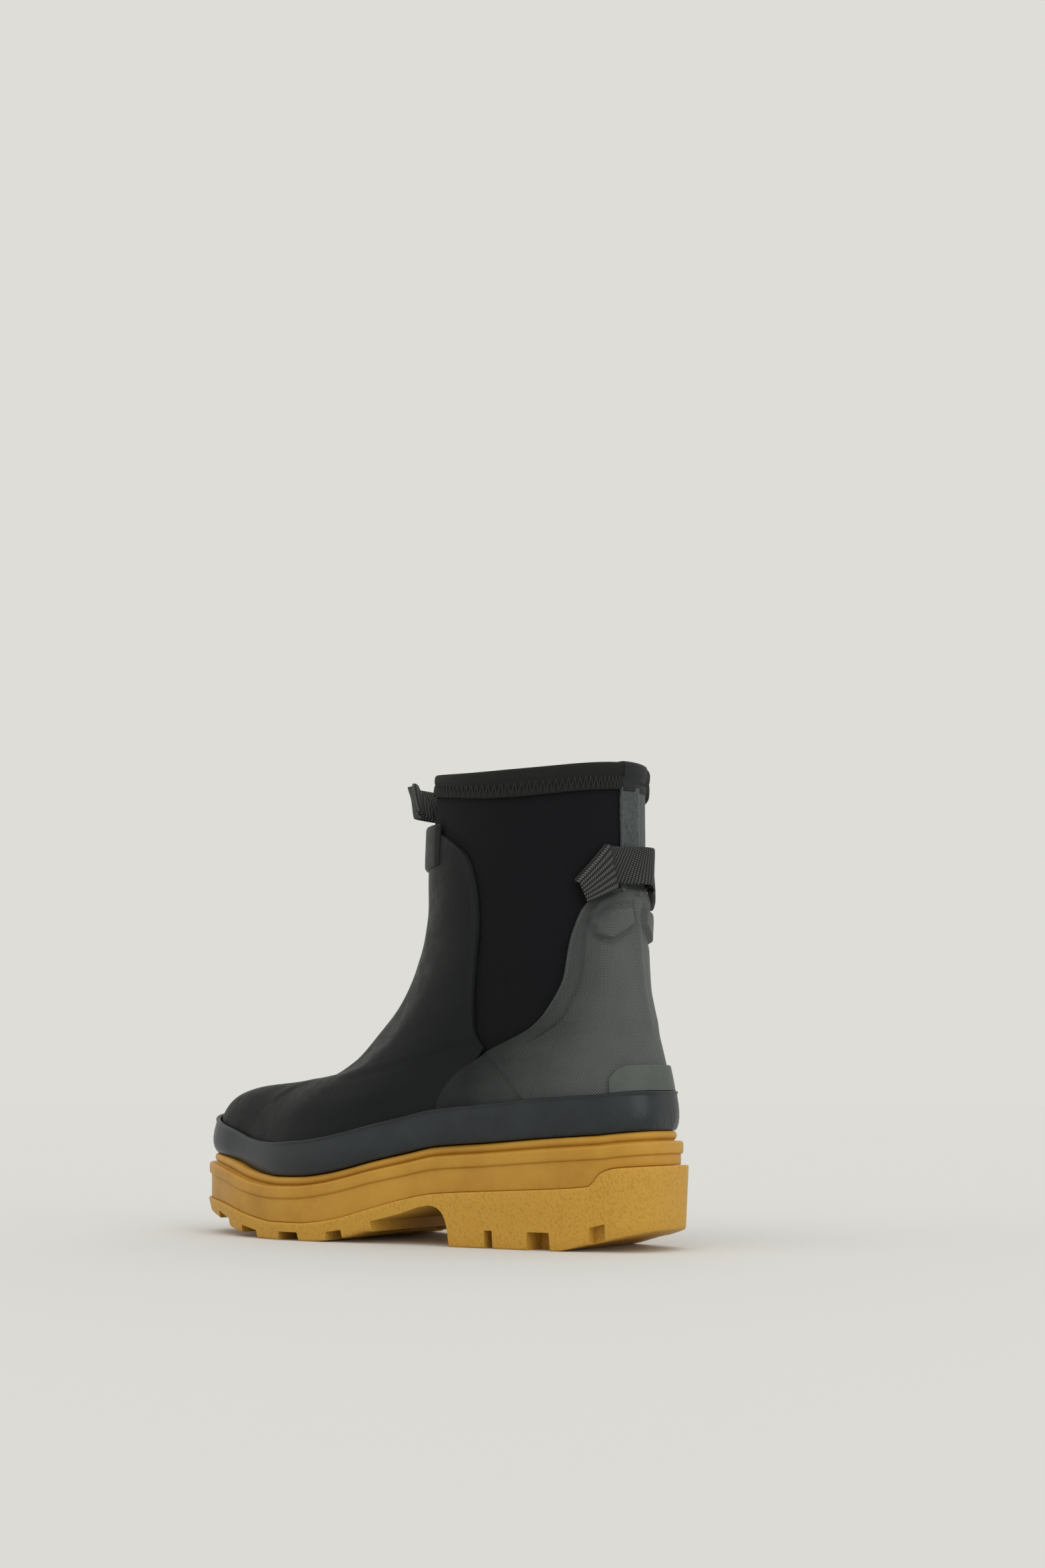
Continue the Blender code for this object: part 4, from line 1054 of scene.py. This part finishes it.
def makeLoop(name, node, form, edgeHeight):
    half = form["width"] / 2
    barHeight = edgeHeight + form["rise"]
    fold, reach = form["fold"], form["reach"]
    side = -1 if form["front"] else 1
    bend = side * loopForm["bend"]
    leg = fold + 2 * bend
    rootHeight = edgeHeight + form["rootRise"]
    creaseLow, creaseHigh = (form["creases"][0], barHeight - half), (form["creases"][1], barHeight + half)
    rootLow = (form["roots"][0], rootHeight)
    rootHigh = (form["roots"][1], rootHeight + 0.38 * form["width"])
    away = np.array([0.86, 0.51])

    # Stations: the two edges, the offsets of both and how far the webbing has turned over
    stations = []
    for share in np.linspace(0, 1, 7):
        lifts = [start + (leg - start) * float(smoothStep(share)) for start in form["rootOffsets"]]
        edges = [(1 - share) * a + share * b for a, b in zip(rootLow + rootHigh, creaseLow + creaseHigh)]
        stations.append((*edges, *lifts, 0.0))
    for degrees in (30, 60, 90, 120, 150, 180):
        turned = math.radians(degrees)
        push = away * loopForm["bend"] * math.sin(turned)
        lift = fold + bend + bend * math.cos(turned)
        stations.append((creaseLow[0] + push[0], creaseLow[1] + push[1], creaseHigh[0] + push[0],
                         creaseHigh[1] + push[1], lift, lift, turned))
    for share in np.linspace(0.12, 1, 12):
        edges = (creaseLow[0] * (1 - share), creaseLow[1], creaseHigh[0] * (1 - share), creaseHigh[1])
        out = [float(smoothStep((1 - lateral / loopForm["barLift"]) * form["flat"]))
               for lateral in edges[::2]]
        stations.append((*edges, *(fold + (reach - fold) * part for part in out), math.pi))
    stations = np.array(stations)
    steps = np.diff(stations[:, :2], axis=0)
    gaps = np.hypot(np.hypot(steps[:, 0], steps[:, 1]), np.diff(stations[:, 4])) + 1e-5
    places = np.concatenate([[0], np.cumsum(gaps)])
    columns, rows = loopForm["along"], loopForm["round"]
    thick = loopForm["thickness"] / 2

    def place(i, j):
        share = 2 * i / columns
        outer = np.where(share <= 1, 1.0, -1.0)
        at = places[-1] * np.where(share <= 1, share, 2 - share)
        values = [readCurve(places, stations[:, column], at) for column in range(7)]
        lowX, lowZ, highX, highZ, lowLift, highLift, turned = values
        across = signedPower(np.cos(2 * math.pi * j / rows), 0.35)
        depth = side * thick * signedPower(np.sin(2 * math.pi * j / rows), 0.6)
        upward = (across + 1) / 2
        pushed = side * depth * np.sin(turned)
        lateral = lowX + (highX - lowX) * upward + away[0] * pushed
        height = lowZ + (highZ - lowZ) * upward + away[1] * pushed
        tilt = form["lean"] * (height - barHeight) / half
        out = lowLift + (highLift - lowLift) * upward + depth * np.cos(turned) + tilt
        return shaftPoints(np.maximum(lateral, 0) * outer, height, out, form["front"])

    bm = bmesh.new()
    verts, i, j = startGrid(bm, columns, rows)
    setPlaces(verts, place(i, j))
    across = signedPower(np.cos(2 * math.pi * j / rows), 0.35)
    writeSurface(bm, verts, places[-1] * 2 * i / columns, half * across)
    bmesh.ops.remove_doubles(bm, verts=bm.verts, dist=0.000002)
    bmesh.ops.holes_fill(bm, edges=[edge for edge in bm.edges if edge.is_boundary], sides=0)
    finishPiece(name, bm, ribbedWebbing, [node], 60)


# Sole
def solePoints(turn, grow, height):
    angle = ringAngle(turn)
    along = (1 - np.cos(angle)) / 2
    side = np.sin(angle)
    half = np.where(side >= 0, readRows(outlineRows, 1, along), readRows(outlineRows, 2, along))
    back = soleForm["panelProud"] - grow
    x = back + (boot["length"] + grow - back) * along
    y = np.copysign((halfBall * half + grow) * np.abs(side) ** outlineRounding, side)
    return np.stack([x, y, height(along) + 0 * x], axis=-1)


def treadGrow(turn):
    place = (1 - np.cos(ringAngle(turn))) / 2
    extra = soleForm["panelProud"] - soleForm["treadProud"]
    return soleForm["treadProud"] + extra * (1 - smoothStep((place - 0.045) / 0.05))


# A solid of rings round the sole, closed by a ruled sheet at each end
def makeSoleLayer(name, rings):
    bm = bmesh.new()
    columns, rows = soleForm["columns"], len(rings) - 1
    verts, i, j = startGrid(bm, columns, rows)
    turn = -1 + 2 * i / columns
    points = np.zeros((len(verts), 3))
    for number, (grow, height) in enumerate(rings):
        chosen = j == number
        points[chosen] = solePoints(turn[chosen], grow(turn[chosen]), height)
    setPlaces(verts, points)
    for grow, height in (rings[0], rings[-1]):
        verts, i, j = startGrid(bm, columns // 2, 1)
        turn = np.where(j == 1, 1, -1) * i / (columns // 2)
        setPlaces(verts, solePoints(turn, grow(turn), height))
    bmesh.ops.remove_doubles(bm, verts=bm.verts, dist=0.000003)
    bmesh.ops.recalc_face_normals(bm, faces=bm.faces)
    return bm


def plain(value):
    return lambda turn: value + 0 * turn


def makeMidsole():
    form = soleForm
    rimTop = form["beadHeight"] + 0.0005
    rimBottom = rimTop + form["rimHeight"]

    def under(drop):
        return lambda place: soleHeight(1, place) - drop

    def overTread(rise):
        return lambda place: soleHeight(2, place) + rise

    setback, bead = form["wallSetback"], form["beadSetback"]
    rows = [(-0.0040, overTread(0.0001)), (-setback - 0.0004, overTread(0.0001)),
            (-setback - 0.0001, overTread(0.0003)), (-setback, overTread(0.0007))]
    rows += [(-setback, under(rimBottom + drop)) for drop in (0.0024, 0.0012, 0.0006)]
    rows += [(-setback - 0.0002, under(rimBottom + 0.0003)), (-setback + 0.0001, under(rimBottom + 0.0001)),
             (-0.0005, under(rimBottom - 0.0001)), (-0.0002, under(rimBottom - 0.0004))]
    rows += [(0.0, under(rimBottom - drop)) for drop in (0.0010, 0.0025, 0.0040)]
    for degrees in range(0, 91, 15):
        turned = math.radians(degrees)
        rows.append((-0.0013 * (1 - math.cos(turned)), under(rimTop + 0.0013 * (1 - math.sin(turned)))))
    rows += [(-0.0020, under(rimTop)), (-bead - 0.0004, under(rimTop + 0.0003)),
             (-bead - 0.0013, under(form["beadHeight"]))]
    for degrees in range(-60, 91, 15):
        turned = math.radians(degrees)
        rows.append((-bead - form["beadRound"] * (1 - math.cos(turned)),
                     under(form["beadHeight"] / 2 * (1 - math.sin(turned)))))
    rings = [(plain(grow), height) for grow, height in rows]
    bm = makeSoleLayer("midsoleGum", rings)
    finishPiece("midsoleGum", bm, gumRubber, ["midsole"], 50)


# Arch: share of the length and of the stack height
archRows = [
    (0.356, -0.20), (0.3565, 0.02), (0.358, 0.10), (0.3595, 0.17), (0.363, 0.24), (0.3685, 0.295),
    (0.376, 0.33), (0.385, 0.349), (0.394, 0.355), (0.415, 0.335), (0.450, 0.275), (0.508, 0.200),
    (0.510, -0.20),
]
# Gaps: share of the length, width as a share, and for those at the edge the depth as a
# share of the lugs' depth
edgeGaps = [(0.583, 0.036, 1.0), (0.681, 0.052, 1.0), (0.788, 0.052, 1.0), (0.880, 0.052, 1.0),
            (0.280, 0.018, 2.0), (0.186, 0.046, 2.0), (0.086, 0.030, 2.0)]
centreGaps = [(0.545, 0.016), (0.632, 0.016), (0.735, 0.016), (0.834, 0.016)]
treadMiddle = {"outer": 0.026, "inner": 0.024, "gapOuter": 0.0216, "gapInner": 0.0218}


def cutWith(target, name, bm):
    bmesh.ops.recalc_face_normals(bm, faces=bm.faces)
    cutter = newObject(name, newMesh(name, bm))
    cut = target.modifiers.new(name, "BOOLEAN")
    cut.operation = "DIFFERENCE"
    cut.solver = "EXACT"
    cut.object = cutter
    return cutter


def addGap(bm, place, width, low, high, deep):
    reach = 0.02
    heights = soleHeight(3, np.array([place - reach, place + reach]))
    slope = (heights[1] - heights[0]) / (2 * reach * boot["length"])
    middle = float(soleHeight(3, np.array([place]))[0])
    made = bmesh.ops.create_cube(bm, size=1)
    upright = [edge for edge in bm.edges if edge.verts[0] in made["verts"]
               and abs(edge.verts[0].co.y - edge.verts[1].co.y) > 0.5]
    for vert in made["verts"]:
        vert.co.x *= boot["length"] * width * (0.86 if vert.co.z > 0 else 1.0)
        vert.co.y *= high - low
        vert.co.z = vert.co.z * 2 * deep + vert.co.x * slope
        vert.co += Vector((boot["length"] * place, (low + high) / 2, middle)) + Vector(toFrame)
    bmesh.ops.bevel(bm, geom=upright, offset=0.0005, segments=2, profile=0.5, affect="EDGES", material=-1)


def makeOutsole():
    def top(place):
        return soleHeight(2, place)

    def bottom(place):
        return soleHeight(3, place)

    def between(share):
        return lambda place: bottom(place) + 0.0012 + (top(place) - bottom(place) - 0.0021) * share

    rows = [(-0.0022, bottom), (-0.0018, lambda p: bottom(p) + 0.0002),
            (-0.00145, lambda p: bottom(p) + 0.0006)]
    rows += [(-0.0012 + 0.0012 * share, between(share)) for share in (0.0, 0.2, 0.4, 0.6, 0.8, 1.0)]
    rows += [(-0.0001, lambda p: top(p) - 0.0005), (-0.0003, lambda p: top(p) - 0.0002), (-0.0007, top),
             (-0.0035, top)]
    rings = [(lambda turn, extra=grow: treadGrow(turn) + extra, height) for grow, height in rows]
    bm = makeSoleLayer("outsoleGum", rings)
    piece = finishPiece("outsoleGum", bm, grainRubber, ["outsole"], 35)

    wide = boot["ballWidth"]
    archBlock = bmesh.new()
    corners = [archBlock.verts.new(Vector((boot["length"] * place, -wide, boot["stackHeight"] * height))
                                   + Vector(toFrame)) for place, height in archRows]
    archBlock.faces.new(corners)
    bmesh.ops.translate(archBlock, verts=extrudeFaces(archBlock), vec=(0, 2 * wide, 0))
    cutters = [cutWith(piece, "archCutter", archBlock)]

    gaps = bmesh.new()
    for place, width, deep in edgeGaps:
        depth = soleForm["lugDepth"] * deep
        inward = treadMiddle["outer"] if deep == 1.0 else treadMiddle["inner"]
        addGap(gaps, place, width, inward, wide, depth)
        addGap(gaps, place, width, -wide, -treadMiddle["inner"], depth)
    for place, width in centreGaps:
        addGap(gaps, place, width, -treadMiddle["gapInner"], treadMiddle["gapOuter"], soleForm["lugDepth"])
    cutters.append(cutWith(piece, "gapCutter", gaps))

    bpy.context.view_layer.update()
    evaluated = piece.evaluated_get(bpy.context.evaluated_depsgraph_get())
    mesh = bpy.data.meshes.new_from_object(evaluated)
    piece.modifiers.clear()
    piece.data = mesh
    mesh.shade_smooth()
    mesh.set_sharp_from_angle(angle=math.radians(35))
    for cutter in cutters:
        bpy.data.objects.remove(cutter)


# Footbed inside
def makeInsole():
    inset = -boot["upperWall"] - boot["clearance"]
    rows = [(0.0006, 0.0), (0.0, 0.0006), (0.0, 0.0030), (0.0003, 0.0037), (0.0012, 0.0040)]
    columns = 240
    bm = bmesh.new()
    verts, i, j = startGrid(bm, columns, len(rows) - 1)
    extra, rise = (np.array([row[c] for row in rows]) for c in (0, 1))

    def ring(turn, row):
        point = onShell(turn, 0 * turn, inset - extra[row])
        point[..., 2] += rise[row]
        return point

    setPlaces(verts, ring(-1 + 2 * i / columns, j))
    for row in (0, len(rows) - 1):
        verts, i, j = startGrid(bm, columns // 2, 12)
        turn = i / (columns // 2)
        near, far = ring(turn, np.full_like(i, row)), ring(-turn, np.full_like(i, row))
        share = (j / 12)[:, None]
        setPlaces(verts, near + (far - near) * share)
    bmesh.ops.remove_doubles(bm, verts=bm.verts, dist=0.000003)
    finishPiece("footbed", bm, footbedFelt, ["insole"])


for make in (makeUpper, makeVamp, makeCounter, makeFoxing, makeHeelPatch, makeBackStrip, makeBinding,
             makeStitches, makeCollarCap, makeFrontTab):
    make()
print("Upper made")
tops = np.array([counterForm["top"], tabForm["top"]])
counterHeight, tabHeight = shellPoints(np.array([0.0, 1.0]), tops)[:, 2]
makeLoop("backLoop", "back_loop", backLoop, float(counterHeight))
makeLoop("frontLoop", "front_loop", frontLoop, float(tabHeight))
print("Loops made")
makeMidsole()
makeOutsole()
makeInsole()
print("Sole made")

# Floor, light and camera
stageLook = {
    "floorColour": (0.725, 0.723, 0.709), "worldColour": (0.730, 0.723, 0.686), "floorSize": 200.0,
}
# Suns: name, direction to the sun, strength and width in degrees
sunRows = [
    ("topSun", (-0.2, 0.35, 1.0), 0.55, 70), ("rearSun", (-1.0, 0.25, 0.45), 0.64, 45),
    ("toeSun", (0.7, 0.8, 0.5), 0.07, 45),
]


def makeStage():
    bm = bmesh.new()
    bmesh.ops.create_grid(bm, x_segments=1, y_segments=1, size=stageLook["floorSize"] / 2)
    floor = newObject("studioFloor", newMesh("studioFloor", bm))
    floor.data.materials.append(newLook("floorPaint", stageLook["floorColour"], 0.9)[0])
    world = bpy.data.worlds.new("studioWorld")
    world.use_nodes = True
    background = world.node_tree.nodes["Background"]
    background.inputs["Color"].default_value = (*stageLook["worldColour"], 1)
    bpy.context.scene.world = world


def addSun(name, direction, strength, width):
    lamp = bpy.data.lights.new(name, "SUN")
    lamp.energy = strength
    lamp.angle = math.radians(width)
    sun = newObject(name, lamp)
    sun.rotation_euler = (-Vector(direction)).to_track_quat("-Z", "Y").to_euler()


photoView = {"imageWidth": 1568, "imageHeight": 2353, "focalPixels": 3000, "horizonRow": 1655,
             "place": (-0.63905, 0.78597, 0.0690), "heading": 36.5}


def makeCamera():
    data = bpy.data.cameras.new("photoCamera")
    data.sensor_width = 36.0
    data.lens = 36.0 * photoView["focalPixels"] / photoView["imageHeight"]
    data.shift_y = (photoView["horizonRow"] - photoView["imageHeight"] / 2) / photoView["imageHeight"]
    data.clip_start = 0.01
    data.clip_end = 500
    camera = newObject("photoCamera", data)
    heading = math.radians(photoView["heading"])
    look = Vector((math.sin(heading), -math.cos(heading), 0))
    camera.location = photoView["place"]
    camera.rotation_euler = look.to_track_quat("-Z", "Y").to_euler()
    bpy.context.scene.camera = camera


makeStage()
for row in sunRows:
    addSun(*row)
makeCamera()
bpy.context.scene.view_settings.view_transform = "Standard"
print("Stage made")
